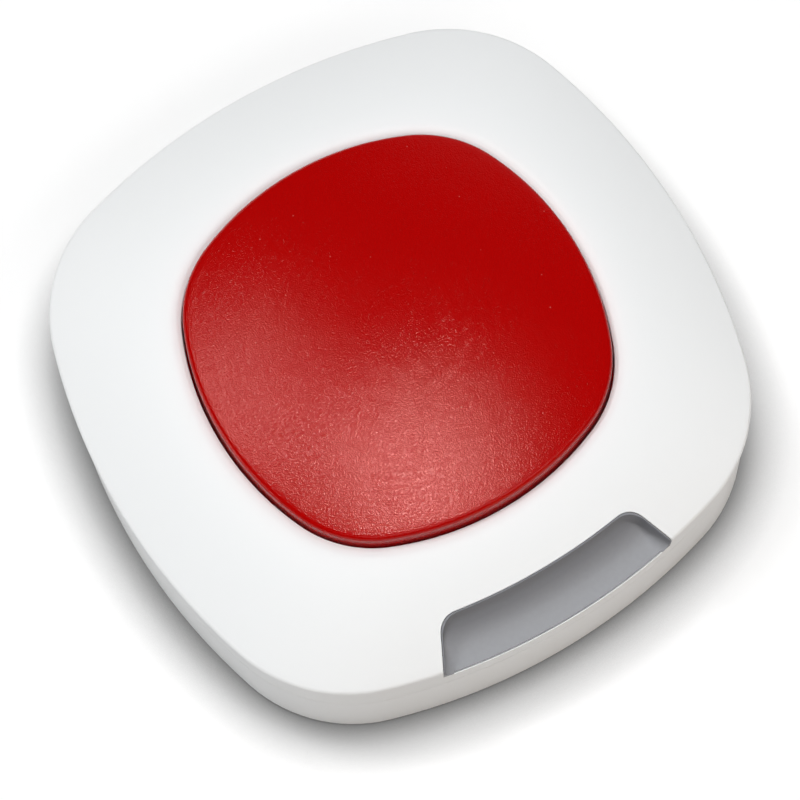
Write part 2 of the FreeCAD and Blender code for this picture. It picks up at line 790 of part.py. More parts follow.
plunger = turned("plunger", [
    ("0", SWITCH_TOP + " - plunger_depth"),
    ("plunger_radius", SWITCH_TOP + " - plunger_depth"),
    ("plunger_radius", PLUNGER_TOP + " - 0.3"),
    ("plunger_radius - 0.3", PLUNGER_TOP),
    ("0", PLUNGER_TOP),
])
finish("switch_plunger", plunger)

boot_foot = BOARD_TOP + " + boot_foot_thickness"
boot_crown = BOARD_TOP + " + boot_height"
boot = turned("boot", [
    ("boot_foot_radius - 1.2 - boot_wall", BOARD_TOP),
    ("boot_foot_radius", BOARD_TOP),
    ("boot_foot_radius", boot_foot),
    ("boot_foot_radius - 1.2", boot_foot),
    ("boot_top_radius", boot_crown + " - 1.2"),
    ("boot_top_radius", boot_crown),
    ("boot_hole_radius", boot_crown),
    ("boot_hole_radius", boot_crown + " - 1.2"),
    ("boot_top_radius - boot_wall", boot_crown + " - 1.2"),
    ("boot_foot_radius - 1.2 - boot_wall", boot_foot),
])
finish("return_boot", boot)

# Cradle under the board with two cells lying side by side, and their spring contacts

cradle_bottom = "board_bottom - cradle_height"
cradle_frame = cut(
    "cradle_frame",
    block("cradle_outer", "2 * " + CRADLE_ACROSS, "2 * " + CRADLE_ALONG, cradle_bottom, "board_bottom"),
    block("cradle_inner", "2 * (%s - cradle_wall)" % CRADLE_ACROSS,
          "2 * (%s - cradle_wall)" % CRADLE_ALONG, "0", ABOVE_BOARD),
)
cradle_ribs = cut(
    "cradle_ribs",
    fuse("cradle_rib_pair", [
        block("cradle_keel", "2 * %s - 1" % CRADLE_ACROSS, "rib_thickness",
              cradle_bottom, cradle_bottom + " + 1.2"),
        block("cradle_rib", "2 * %s - 1" % CRADLE_ACROSS, "rib_thickness",
              "board_bottom - 1.9", "board_bottom"),
    ]),
    block("bridge_room", "contact_thickness + 0.2", "4", "0", ABOVE_BOARD, CONTACT_X),
)
finish("battery_holder", fuse("battery_holder", [cradle_frame, cradle_ribs]))


def cell(node, y, turn):
    """One small dry cell lying along X, with its raised end at +X before it is turned."""
    half = "(cell_length / 2)"
    name = node + "_form"
    body = turned(name, [
        ("0", "-%s - cell_nub_length / 2" % half),
        ("cell_radius", "-%s - cell_nub_length / 2" % half),
        ("cell_radius", "%s - cell_nub_length / 2" % half),
        ("cell_nub_radius", "%s - cell_nub_length / 2" % half),
        ("cell_nub_radius", "%s + cell_nub_length / 2" % half),
        ("0", "%s + cell_nub_length / 2" % half),
    ])
    body.Placement = FreeCAD.Placement(Vector(0, 0, 0), FreeCAD.Rotation(Vector(0, 1, 0), turn))
    place(body, "0", y, CELL_Z)
    return finish(node, body)


cell("battery_1", CELL_Y, 90)
cell("battery_2", "-" + CELL_Y, -90)


def contact_tongue(name, x_sign, y):
    """The bowed part of a contact, a slice of a thin ring that bulges toward the cell."""
    x = "%s(%s + 0.35)" % (x_sign, CONTACT_X)
    radius = "(contact_bow - 0.75 - contact_thickness / 2 + 0.35)"
    low = "%s - contact_height / 2" % CELL_Z
    high = "%s + contact_height / 2" % CELL_Z
    ring = cut(
        name + "_ring",
        cylinder(name + "_outer", radius, low, high, x, y),
        cylinder(name + "_inner", radius + " - contact_thickness", low + " - 1", high + " + 1", x, y),
    )
    half = block(name + "_half", "6", "contact_height + 2", "0", "board_bottom",
                 "%s(%s - 3)" % (x_sign, CONTACT_X), y)
    return common(name, [ring, half])


def contact_strip(name, x_sign, width, y):
    """The flat back of a contact against the end wall, soldered to the board at its top."""
    x = x_sign + CONTACT_X
    low = "%s - contact_height / 2" % CELL_Z
    return [block(name + "_strip", "contact_thickness", width, low, "board_bottom", x, y)]


bridge_parts = contact_strip("bridge", "", "cell_spacing + contact_width", "0")
bridge_parts.append(contact_tongue("bridge_tongue_1", "", CELL_Y))
bridge_parts.append(contact_tongue("bridge_tongue_2", "", "-" + CELL_Y))
finish("battery_bridge", fuse("battery_bridge", bridge_parts))
for node, sign in (("terminal_negative", ""), ("terminal_positive", "-")):
    y = sign + CELL_Y
    parts = contact_strip(node, "-", "contact_width", y)
    parts.append(contact_tongue(node + "_tongue", "-", y))
    finish(node, fuse(node, parts))

# Small pieces on the board

for node, x in (("led_left", "-lamp_spacing"), ("led_middle", "0"), ("led_right", "lamp_spacing")):
    case_part = block(node + "_case", "lamp_width", "lamp_depth", BOARD_TOP,
                      BOARD_TOP + " + lamp_case_height", x, "-" + LAMP_PLACE)
    lens = block(node + "_lens", "lens_width", "lens_depth", BOARD_TOP,
                 BOARD_TOP + " + lamp_height", x, "-" + LAMP_PLACE)
    finish(node, fuse(node, [case_part, lens]))

RADIO_TOP = BOARD_TOP + " + radio_thickness"
SHIELD_TOP = RADIO_TOP + " + shield_height"
SHIELD_X = "-(radio_x + shield_shift)"
finish("radio_board", block(
    "radio_board", "radio_length", "radio_width", BOARD_TOP, RADIO_TOP, "-radio_x", "radio_y",
))
shield = cut(
    "shield",
    block("shield_outer", "shield_length", "shield_width", RADIO_TOP, SHIELD_TOP, SHIELD_X, "radio_y"),
    block("shield_inner", "shield_length - 2 * shield_sheet", "shield_width - 2 * shield_sheet",
          "0", SHIELD_TOP + " - shield_sheet", SHIELD_X, "radio_y"),
)
finish("radio_shield", shield)
finish("microcontroller", block(
    "microcontroller", "chip_width", "chip_width", BOARD_TOP, BOARD_TOP + " + chip_height",
    "chip_x", "chip_y",
))
finish("crystal", block(
    "crystal", "crystal_length", "crystal_width", BOARD_TOP, BOARD_TOP + " + crystal_height",
    "crystal_x", "crystal_y",
))
finish("capacitor", cylinder(
    "capacitor", "capacitor_radius", BOARD_TOP, BOARD_TOP + " + capacitor_height",
    "capacitor_x", "-capacitor_y",
))

ANTENNA_TOP = BOARD_TOP + " + antenna_height"
antenna_parts = [
    block("antenna_bar", "antenna_length", "antenna_width", ANTENNA_TOP + " - antenna_sheet", ANTENNA_TOP,
          "0", ANTENNA_PLACE),
]
antenna_end = "(antenna_length - antenna_leg) / 2"
for number, x in enumerate(("-" + antenna_end, "antenna_feed - " + antenna_end, antenna_end), 1):
    name = "antenna_leg_%d" % number
    y = ANTENNA_PLACE + " - (antenna_width - antenna_sheet) / 2"
    antenna_parts.append(block(name, "antenna_leg", "antenna_sheet", BOARD_TOP, ANTENNA_TOP, x, y))
finish("antenna", fuse("antenna", antenna_parts))

TAMPER_BODY_TOP = BOARD_TOP + " + tamper_height"
tamper_body = cut(
    "tamper_body",
    block("tamper_block", "tamper_width", "tamper_depth", BOARD_TOP, TAMPER_BODY_TOP,
          TAMPER_PLACE, "tamper_along"),
    cylinder("tamper_bore", "tamper_pin_radius + touch_gap", TAMPER_BODY_TOP + " - tamper_pin_depth",
             ABOVE_ALL, TAMPER_PLACE, "tamper_along"),
)
finish("tamper_switch", tamper_body)
finish("tamper_plunger", cylinder(
    "tamper_plunger", "tamper_pin_radius", TAMPER_BODY_TOP + " - tamper_pin_depth", TAMPER_TOP,
    TAMPER_PLACE, "tamper_along",
))


# Screws and feet

def screw(node, x, y, seat, head_radius, head_height, radius, length):
    """A screw standing on Z, with its head below."""
    body = turned(node + "_form", [
        ("0", "-(%s)" % head_height),
        (head_radius, "-(%s)" % head_height),
        (head_radius, "0"),
        (radius, "0"),
        (radius, length),
        ("0", length),
    ])
    return finish(node, place(body, x, y, seat))


for number, (x, y) in enumerate(corners(SCREW_PLACE, SCREW_PLACE), 1):
    screw("case_screw_%d" % number, x, y, "case_head_seat", "case_head_radius",
          "case_head_height", "case_screw_radius", "case_screw_length")
for number, (x, y) in enumerate(corners(BOARD_SCREW_PLACE, "board_screw_along"), 1):
    screw("board_screw_%d" % number, x, y, "board_bottom", "board_head_radius",
          "board_head_height", "board_screw_radius", "board_screw_length")
for number, (x, y) in enumerate(corners(FOOT_PLACE, "foot_along"), 1):
    foot = turned("foot_%d" % number, [
        ("0", "0"),
        ("foot_radius", "0"),
        ("foot_radius", "foot_thickness"),
        ("0", "foot_thickness"),
    ])
    finish("rubber_foot_%d" % number, place(foot, x, y, "0"))

# Check every piece, then write one file for each

document.recompute()
broken = [item.Name for item in document.Objects if "Invalid" in item.State or "Error" in item.State]
if broken:
    raise RuntimeError("not computed: " + ", ".join(broken))
for node, item in PIECES.items():
    shape = item.Shape
    if shape.isNull() or not shape.isValid() or not shape.Solids:
        raise RuntimeError("bad shape: " + node)

os.makedirs("parts", exist_ok=True)
for node, item in PIECES.items():
    item.Shape.exportStep("parts/" + node + ".step")
print(len(PIECES), "pieces written")
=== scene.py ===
import json
import math

import bmesh
import bpy
from mathutils import Matrix, Vector
from mathutils.bvhtree import BVHTree


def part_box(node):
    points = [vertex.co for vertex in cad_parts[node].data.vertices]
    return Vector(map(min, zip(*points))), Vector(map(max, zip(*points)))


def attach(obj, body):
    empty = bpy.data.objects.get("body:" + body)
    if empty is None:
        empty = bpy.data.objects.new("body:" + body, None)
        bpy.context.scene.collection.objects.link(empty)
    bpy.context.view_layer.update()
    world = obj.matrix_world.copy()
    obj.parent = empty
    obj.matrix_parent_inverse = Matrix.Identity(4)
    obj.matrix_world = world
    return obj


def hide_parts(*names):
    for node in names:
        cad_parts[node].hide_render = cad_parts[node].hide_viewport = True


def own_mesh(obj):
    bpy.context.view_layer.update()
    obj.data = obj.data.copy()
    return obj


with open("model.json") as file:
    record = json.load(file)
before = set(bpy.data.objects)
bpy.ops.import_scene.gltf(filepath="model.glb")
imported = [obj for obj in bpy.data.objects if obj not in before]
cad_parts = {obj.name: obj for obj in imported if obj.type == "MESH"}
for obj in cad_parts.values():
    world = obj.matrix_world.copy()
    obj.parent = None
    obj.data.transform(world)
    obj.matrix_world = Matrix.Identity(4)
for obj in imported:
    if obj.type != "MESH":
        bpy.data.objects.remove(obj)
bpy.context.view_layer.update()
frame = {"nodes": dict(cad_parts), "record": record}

# Sizes in metres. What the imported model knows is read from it, and the rest is named here.

MM = 0.001
cover_low, cover_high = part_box("front_cover")
cap_low, cap_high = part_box("panic_button")
window_low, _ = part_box("light_guide")
boot_low, boot_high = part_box("return_boot")
board_low, board_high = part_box("circuit_board")
_, plunger_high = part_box("switch_plunger")
tamper_low, tamper_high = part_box("tamper_plunger")
case_screw_low, case_screw_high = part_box("case_screw_1")
board_screw_low, board_screw_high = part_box("board_screw_1")

# The case in plan, and its levels
CASE_HALF = round(cover_high.x, 4)
CASE_SIDE_RADIUS = 84.75 * MM
CASE_CORNER_RADIUS = 21.15 * MM
CASE = (CASE_HALF, CASE_SIDE_RADIUS, CASE_CORNER_RADIUS)
DOME_HEIGHT = 5.75 * MM
SEAM = cover_low.z
CREST = cover_high.z
RIM = CREST - DOME_HEIGHT

# Case walls and edges
WALL = 2.5 * MM
SKIRT_LEAN = 0.5 * MM
SKIRT_STEPS = 5
SEAM_EDGE = 0.05 * MM
TONGUE_ROOM = 0.95 * MM
TONGUE_ROOM_TOP = SEAM + 1.54 * MM
RIM_ROUND = 0.8 * MM
RIM_CENTRE = RIM - RIM_ROUND
RIM_STEPS = 8

# The dome, and the roof's underside, which is level at the collar and slopes down to the wall
DOME_EDGE_ANGLE = math.radians(33)
DOME_FULLNESS = 1.5
DOME_STEPS = 34
ROOF_THICK = 2.2 * MM
ROOF_INNER_REACH = 2.7 * MM
ROOF_INNER_BEVEL = 0.3 * MM
ROOF_OUTER_DROP = 1.2 * MM

# The opening, its sloped border, given as (distance in from the crest, drop), and the collar under it
FLANGE_REACH = 0.9 * MM
OPENING_HALF = cap_high.x - FLANGE_REACH
OPENING_SIDE_RADIUS = 39.16 * MM
OPENING_CORNER_RADIUS = 16.07 * MM
OPENING = (OPENING_HALF, OPENING_SIDE_RADIUS, OPENING_CORNER_RADIUS)
BORDER_WIDTH = 1.7 * MM
BORDER_DROP = 0.5 * MM
BORDER_CURVE = (
    (0.35 * MM, 0.02 * MM), (0.7 * MM, 0.1 * MM), (1.0 * MM, 0.2 * MM), (1.25 * MM, 0.29 * MM),
)
BORDER_EDGE_ROUND = 0.35 * MM
BORDER_EDGE_LIFT = 0.02 * MM
BORDER_EDGE_STEPS = 6
COLLAR_BOTTOM = 19.0 * MM
COLLAR_THICK = 1.6 * MM

# What the cover carries inside
CASE_BOSS_RADIUS = 3.5 * MM
CASE_PILOT_RADIUS = 1.5 * MM
BOARD_BOSS_RADIUS = 2.7 * MM
BOARD_PILOT_RADIUS = 1.1 * MM
TAMPER_POST_RADIUS = 1.6 * MM
PILOT_SPARE = 0.5 * MM

# Push cap, with its ribs, its stem over the switch and the ring that pushes the boot
CAP_GAP = 0.3 * MM
CAP_RISE = 2.4 * MM
CAP_ROUND = 0.8 * MM
CAP_WALL = 2.0 * MM
CAP_THICK = 2.2 * MM
CAP_TOP = cap_high.z
CAP_FOOT = cap_low.z
FLANGE_THICK = 1.3 * MM
RIB_THICK = 1.2 * MM
RIB_INTO_WALL = 0.5 * MM
STEM_RADIUS = 2.4 * MM
STEM_CLEARANCE = 0.05 * MM
BOOT_RING_RADIUS = 5.6 * MM
BOOT_RING_BORE = 4.0 * MM

# Return boot: a flat foot, a flexible web and the crown that the cap's ring stands on
BOOT_FOOT_WIDTH = 2.3 * MM
BOOT_FOOT_THICK = 1.0 * MM
BOOT_FOOT_BEVEL = 0.2 * MM
BOOT_WEB_INSET = 1.2 * MM
BOOT_WEB_BORE = 4.5 * MM
BOOT_CROWN_THICK = 1.2 * MM
BOOT_CROWN_BORE = 3.4 * MM

# Light window: a notch in the dome's front edge, the block that fills it, and the scoop in the block
NOTCH_INSET = 6.4 * MM
NOTCH_HALF = 14.4 * MM
NOTCH_FLARE = math.radians(27)
NOTCH_ROUND = 2.8 * MM
NOTCH_BACK_RADIUS = CASE_SIDE_RADIUS - NOTCH_INSET
NOTCH_CUT_DEPTH = 12 * MM
WINDOW_GAP = 0.08 * MM
WINDOW_FLOOR = RIM - 3.2 * MM
WINDOW_UNDER = WINDOW_FLOOR - 0.6 * MM
WINDOW_DOME_STEPS = 30
COVE_EDGE = 0.22 * MM
COVE_OUTLINE_ROUND = NOTCH_ROUND + 0.3 * MM
COVE_BACK_ROUND = 5.2 * MM
COVE_SIDE_ROUND = 1.5 * MM
COVE_CORNER_ROUND = 2.6 * MM
COVE_SIDE_STEPS = 14
COVE_CORNER_STEPS = 12
COVE_BACK_STEPS = 40
COVE_ROWS = 12

# The white lip of the cover in front of the window
LIP_BASE = 0.8 * MM
LIP_TOP = 0.07 * MM
LIP_ROUND = 0.05 * MM
LIP_STEPS = 8

# The window's tab over the lamps, and the two legs under it
TAB_HALF = 19 * MM
TAB_DEPTH = 7 * MM
TAB_THICK = 1.3 * MM
TAB_BOTTOM = RIM - 2.6 * MM
TAB_BACK = NOTCH_INSET + 2.9 * MM - CASE_HALF
TAB_CLEARANCE = 0.25 * MM
LEG_X = NOTCH_HALF + 2.6 * MM
LEG_Y = 6.8 * MM - CASE_HALF
LEG_HALF_WIDTH = 1 * MM
LEG_HALF_DEPTH = 1.2 * MM

# Screws, as head radius, head height, thread radius and pitch. The head's profile is shares of its
# radius and height, from its face up to its seat, and the foot's is the same from the table up.
CASE_SCREW = (2.8 * MM, 1.9 * MM, 1.45 * MM, 1.1 * MM)
BOARD_SCREW = (2.0 * MM, 1.3 * MM, 1.05 * MM, 0.8 * MM)
HEAD_PROFILE = ((0.5, 0.0), (0.78, 0.1), (0.94, 0.32), (1.0, 0.62), (1.0, 1.0))
FOOT_PROFILE = ((0.55, 0.0), (0.84, 0.02), (0.93, 0.12), (0.98, 0.32), (1.0, 0.6), (1.0, 1.0))
NECK_SHARE = 0.8
NECK_TURNS = 0.5
THREAD_START_TURNS = 0.7
THREAD_CORE_SHARE = 0.76
THREAD_RIDGE_SHARE = 0.32
POINT_SHARE = 0.35
POINT_LENGTH = 1.3 * MM
RECESS_REACH_SHARE = 0.56
RECESS_HALF_SHARE = 0.13
RECESS_DEPTH_SHARE = 0.55

# How far joined pieces sink into each other, and how far a cutter reaches past what it cuts. Where
# two cutters meet, one of them reaches some times as far, so that no faces of theirs coincide.
BURIED = 0.9 * MM
SPARE = 1 * MM

# Fineness of the meshes
SIDE_STEPS = 26
CORNER_STEPS = 30
CIRCLE_STEPS = 32
FINE_CIRCLE_STEPS = 64
SCREW_CIRCLE_STEPS = 24
FOOT_CIRCLE_STEPS = 48
THREAD_ROWS_PER_TURN = 6
WELD_DISTANCE = 0.002 * MM
SLIVER_LENGTH = 0.001 * MM
SHARP_EDGE = math.radians(32)


# Outlines: (half width, side radius, corner radius), four bowed sides joined by round corners

def inset(outline, distance):
    """An outline moved inwards, with the centres of its arcs where they were."""
    return tuple(part - distance for part in outline)


def between(first, second, share):
    return tuple(a + (b - a) * share for a, b in zip(first, second))


def outline_points(outline):
    """Points anticlockwise round an outline, starting at the -Y end of its +X side."""
    half, side, corner = outline
    lean = side - half
    reach = (math.sqrt(2 * (side - corner) ** 2 - lean ** 2) - lean) / 2
    turn = math.atan2(reach, reach + lean)
    points = []
    for quarter in range(4):
        rotation = Matrix.Rotation(quarter * math.pi / 2, 2)
        for step in range(SIDE_STEPS):
            angle = -turn + 2 * turn * step / SIDE_STEPS
            point = Vector((side * math.cos(angle) - lean, side * math.sin(angle)))
            points.append(rotation @ point)
        for step in range(CORNER_STEPS):
            angle = turn + (math.pi / 2 - 2 * turn) * step / CORNER_STEPS
            point = Vector((reach + corner * math.cos(angle), reach + corner * math.sin(angle)))
            points.append(rotation @ point)
    return points


def circle(x, y, radius, count=CIRCLE_STEPS):
    """Flat points round a circle."""
    points = []
    for index in range(count):
        angle = 2 * math.pi * index / count
        points.append(Vector((x + radius * math.cos(angle), y + radius * math.sin(angle))))
    return points


def level_ring(points, height):
    """A ring of 3D points over flat ones."""
    return [Vector((point.x, point.y, height)) for point in points]


def at(outline, height):
    """A ring of 3D points along an outline."""
    return level_ring(outline_points(outline), height)


def middle(low, high):
    """The middle of a box, seen from above."""
    return (low.x + high.x) / 2, (low.y + high.y) / 2


def four_places(x, y):
    """The same place in all four corners of the case."""
    return [(-x, -y), (-x, y), (x, -y), (x, y)]


# Mesh helpers

def new_object(name, vertices, faces):
    """An object of these points and faces, with its faces turned outwards."""
    mesh = bpy.data.meshes.new(name)
    mesh.from_pydata([tuple(vertex) for vertex in vertices], [], faces)
    work = bmesh.new()
    work.from_mesh(mesh)
    bmesh.ops.recalc_face_normals(work, faces=work.faces)
    work.to_mesh(mesh)
    work.free()
    obj = bpy.data.objects.new(name, mesh)
    bpy.context.scene.collection.objects.link(obj)
    return obj


def ring_faces(first, second, count):
    """Quads between two rings of points, given by their first numbers."""
    faces = []
    for index in range(count):
        after = (index + 1) % count
        faces.append((first + index, first + after, second + after, second + index))
    return faces


def skin(rings):
    """The points of the rings, and the quads from each ring to the next."""
    count = len(rings[0])
    vertices = [point for ring in rings for point in ring]
    faces = []
    for number in range(len(rings) - 1):
        faces += ring_faces(number * count, (number + 1) * count, count)
    return vertices, faces


def sweep(name, rings):
    """A closed tube of rings, of which the last joins the first."""
    vertices, faces = skin(rings)
    count = len(rings[0])
    faces += ring_faces(len(vertices) - count, 0, count)
    return new_object(name, vertices, faces)


def stack(name, rings):
    """A solid of rings with a flat face at both ends."""
    vertices, faces = skin(rings)
    count = len(rings[0])
    faces.append(tuple(range(count)))
    faces.append(tuple(range(len(vertices) - count, len(vertices))))
    return new_object(name, vertices, faces)


def prism(name, points, bottom, top):
    """An upright solid over flat points."""
    return stack(name, [[(point.x, point.y, height) for point in points] for height in (bottom, top)])


def box_prism(name, low, high):
    """An upright box between two corners."""
    corners = [(low[0], low[1]), (high[0], low[1]), (high[0], high[1]), (low[0], high[1])]
    return prism(name, [Vector(corner) for corner in corners], low[2], high[2])


def turned(name, x, y, rows, count):
    """A solid of round rows, each a height and a function from angle to radius."""
    rings = []
    for height, radius_at in rows:
        ring = []
        for index in range(count):
            angle = 2 * math.pi * index / count
            radius = radius_at(angle)
            ring.append((x + radius * math.cos(angle), y + radius * math.sin(angle), height))
        rings.append(ring)
    return stack(name, rings)


def combine(obj, operation, cutter):
    """Apply a boolean, then drop the cutter."""
    modifier = obj.modifiers.new("Boolean", "BOOLEAN")
    modifier.operation = operation
    modifier.solver = "EXACT"
    modifier.object = cutter
    graph = bpy.context.evaluated_depsgraph_get()
    result = bpy.data.meshes.new_from_object(obj.evaluated_get(graph))
    obj.modifiers.clear()
    obj.data = result
    bpy.data.objects.remove(cutter)


def drop_doubled_faces(work):
    """Remove pairs of faces on the same points, which a boolean can leave behind."""
    seen = {}
    for face in work.faces:
        seen.setdefault(frozenset(face.verts), []).append(face)
    doubled = [face for faces in seen.values() if len(faces) > 1 for face in faces]
    bmesh.ops.delete(work, geom=doubled, context="FACES")


def shade(obj):
    """Clean up after the booleans, and shade smooth up to the sharp edges."""
    work = bmesh.new()
    work.from_mesh(obj.data)
    bmesh.ops.remove_doubles(work, verts=work.verts, dist=WELD_DISTANCE)
    bmesh.ops.dissolve_degenerate(work, edges=work.edges, dist=SLIVER_LENGTH)
    bmesh.ops.triangulate(work, faces=[face for face in work.faces if len(face.verts) > 4])
    drop_doubled_faces(work)
    for face in work.faces:
        face.smooth = True
    for edge in work.edges:
        edge.smooth = len(edge.link_faces) == 2 and edge.calc_face_angle(0) < SHARP_EDGE
    work.to_mesh(obj.data)
    work.free()


# Front cover

CREST_OUTLINE = inset(OPENING, -BORDER_WIDTH)
DOME_EDGE = inset(CASE, RIM_ROUND * (1 - math.sin(DOME_EDGE_ANGLE)))
DOME_BOTTOM = RIM_CENTRE + RIM_ROUND * math.cos(DOME_EDGE_ANGLE)


def skirt_inset(height):
    """How far the upright side, which leans in a little towards the seam, lies in from the case."""
    return SKIRT_LEAN * max(0.0, RIM_CENTRE - height) / (RIM_CENTRE - SEAM)


def skirt_rings(low):
    """Up the upright side, between a level and the rim's round edge."""
    rings = []
    for step in range(1, SKIRT_STEPS):
        height = low + (RIM_CENTRE - low) * step / SKIRT_STEPS
        rings.append(at(inset(CASE, skirt_inset(height)), height))
    return rings


def rim_rings():
    """From the upright side over the rim's round edge, up to the slope of the dome."""
    rings = []
    for step in range(RIM_STEPS + 1):
        angle = (math.pi / 2 - DOME_EDGE_ANGLE) * step / RIM_STEPS
        distance = RIM_ROUND * (1 - math.cos(angle))
        rings.append(at(inset(CASE, distance), RIM_CENTRE + RIM_ROUND * math.sin(angle)))
    return rings


def dome_outline(step):
    """The dome's outline some steps up from the rim."""
    return between(DOME_EDGE, CREST_OUTLINE, step / DOME_STEPS)


def dome_rings(steps):
    """The first rings of the dome, of all those up to its crest."""
    rings = []
    for step in range(1, steps + 1):
        climb = 1 - (1 - step / DOME_STEPS) ** DOME_FULLNESS
        rings.append(at(dome_outline(step), DOME_BOTTOM + (CREST - DOME_BOTTOM) * climb))
    return rings


def border_rings():
    """From the crest down the sloped border, over its edge and down the collar."""
    rings = []
    for distance, drop in BORDER_CURVE:
        rings.append(at(inset(CREST_OUTLINE, distance), CREST - drop))
    slope = math.atan2(BORDER_DROP, BORDER_WIDTH)
    for step in range(BORDER_EDGE_STEPS + 1):
        angle = slope + (math.pi / 2 - slope) * step / BORDER_EDGE_STEPS
        distance = BORDER_EDGE_ROUND * (1 - math.sin(angle))
        height = CREST - BORDER_DROP - BORDER_EDGE_ROUND + BORDER_EDGE_ROUND * math.cos(angle)
        rings.append(at(inset(OPENING, -distance), height + BORDER_EDGE_LIFT))
    rings.append(at(OPENING, COLLAR_BOTTOM))
    return rings


def make_cover():
    """The shell: over the tongue's room and the seam, up the outside, and back along the underside."""
    rings = [at(inset(CASE, WALL), TONGUE_ROOM_TOP)]
    rings.append(at(inset(CASE, WALL - TONGUE_ROOM), TONGUE_ROOM_TOP))
    rings.append(at(inset(CASE, WALL - TONGUE_ROOM), SEAM))
    rings.append(at(inset(CASE, SKIRT_LEAN + SEAM_EDGE), SEAM))
    rings.append(at(inset(CASE, SKIRT_LEAN), SEAM + SEAM_EDGE))
    rings += skirt_rings(SEAM)
    rings += rim_rings()
    rings += dome_rings(DOME_STEPS)
    rings += border_rings()
    rings.append(at(inset(OPENING, -COLLAR_THICK), COLLAR_BOTTOM))
    rings.append(at(inset(OPENING, -COLLAR_THICK), CREST - ROOF_THICK - ROOF_INNER_BEVEL))
    rings.append(at(inset(OPENING, -ROOF_INNER_REACH), CREST - ROOF_THICK))
    rings.append(at(inset(CASE, WALL), RIM - ROOF_OUTER_DROP))
    return sweep("cover_shell", rings)


def roof_post(roof, x, y, radius, low):
    """A round post from a level up into the roof above it."""
    points = circle(x, y, radius)
    post = prism("roof_post", points, low, low + BURIED)
    for index, point in enumerate(points):
        above = roof.ray_cast(Vector((point.x, point.y, low)), Vector((0, 0, 1)))[0]
        post.data.vertices[len(points) + index].co.z = above.z + BURIED
    return post


def add_bosses(cover):
    """Screw bosses with pilot holes, and the post over the tamper switch."""
    roof = BVHTree.FromObject(cover, bpy.context.evaluated_depsgraph_get())
    case_x, case_y = (abs(part) for part in middle(case_screw_low, case_screw_high))
    board_x, board_y = (abs(part) for part in middle(board_screw_low, board_screw_high))
    for x, y in four_places(case_x, case_y):
        combine(cover, "UNION", roof_post(roof, x, y, CASE_BOSS_RADIUS, SEAM))
        top = case_screw_high.z + PILOT_SPARE
        combine(cover, "DIFFERENCE", prism("pilot", circle(x, y, CASE_PILOT_RADIUS), SEAM - SPARE, top))
    for x, y in four_places(board_x, board_y):
        combine(cover, "UNION", roof_post(roof, x, y, BOARD_BOSS_RADIUS, board_high.z))
        top = board_screw_high.z + PILOT_SPARE
        combine(cover, "DIFFERENCE", prism("pilot", circle(x, y, BOARD_PILOT_RADIUS), board_low.z, top))
    x, y = middle(tamper_low, tamper_high)
    combine(cover, "UNION", roof_post(roof, x, y, TAMPER_POST_RADIUS, tamper_high.z))


# Light window: the notch in plan, and the cove cut into the block that fills it

FRONT_CENTRE_Y = CASE_SIDE_RADIUS - CASE_HALF
FRONT_CENTRE = Vector((0, FRONT_CENTRE_Y))
ALONG = Vector((math.sin(NOTCH_FLARE), -math.cos(NOTCH_FLARE)))
INWARD = Vector((-math.cos(NOTCH_FLARE), -math.sin(NOTCH_FLARE)))
CORNER_SEARCH = (-5 * MM, 12 * MM)
HALVINGS = 60


def notch_corner(radius, half, corner_round):
    """The centre of the corner's arc, one arc radius in from the side and from the bowed back."""
    back = FRONT_CENTRE.y - math.sqrt(radius ** 2 - half ** 2)
    start = Vector((half, back)) + INWARD * corner_round
    low, high = CORNER_SEARCH
    for _ in range(HALVINGS):
        halfway = (low + high) / 2
        if (start + ALONG * halfway - FRONT_CENTRE).length < radius + corner_round:
            low = halfway
        else:
            high = halfway
    return start + ALONG * high


def notch_path(border, corner_round, front, side_steps=6, corner_steps=12, back_steps=40):
    """From the right front, round the back, to the left front: points, each with its way inwards."""
    radius = NOTCH_BACK_RADIUS + border
    shrink = border * (1 / math.cos(NOTCH_FLARE) - math.tan(NOTCH_FLARE))
    heart = notch_corner(radius, NOTCH_HALF - shrink, corner_round)
    touch = heart - INWARD * corner_round
    reach = (touch.y + front) / math.cos(NOTCH_FLARE)
    right = []
    for step in range(side_steps):
        right.append((touch + ALONG * reach * (1 - step / side_steps), INWARD))
    to_back = (FRONT_CENTRE - heart).normalized()
    side_angle = math.atan2(-INWARD.y, -INWARD.x)
    back_angle = math.atan2(to_back.y, to_back.x)
    for step in range(corner_steps + 1):
        angle = side_angle + (back_angle - side_angle) * (step / corner_steps)
        out = Vector((math.cos(angle), math.sin(angle)))
        right.append((heart + out * corner_round, -out))
    path = list(right)
    spread = math.atan2(heart.x, FRONT_CENTRE.y - heart.y)
    for step in range(1, back_steps):
        angle = spread - 2 * spread * step / back_steps
        out = Vector((math.sin(angle), -math.cos(angle)))
        path.append((FRONT_CENTRE + out * radius, out))
    for point, normal in reversed(right):
        path.append((Vector((-point.x, point.y)), Vector((-normal.x, normal.y))))
    return path


def notch_prism(name, border, corner_round):
    """The notch's outline, right through the cover."""
    path = notch_path(border, corner_round, CASE_HALF + 4 * SPARE)
    return prism(name, [point for point, _ in path], SEAM - SPARE, CREST + 6 * SPARE)


def quarter_round(radius, distance):
    """Height of a quarter round at a distance from the wall that it starts at."""
    if distance >= radius:
        return 0.0
    return radius - math.sqrt(radius ** 2 - (radius - distance) ** 2)


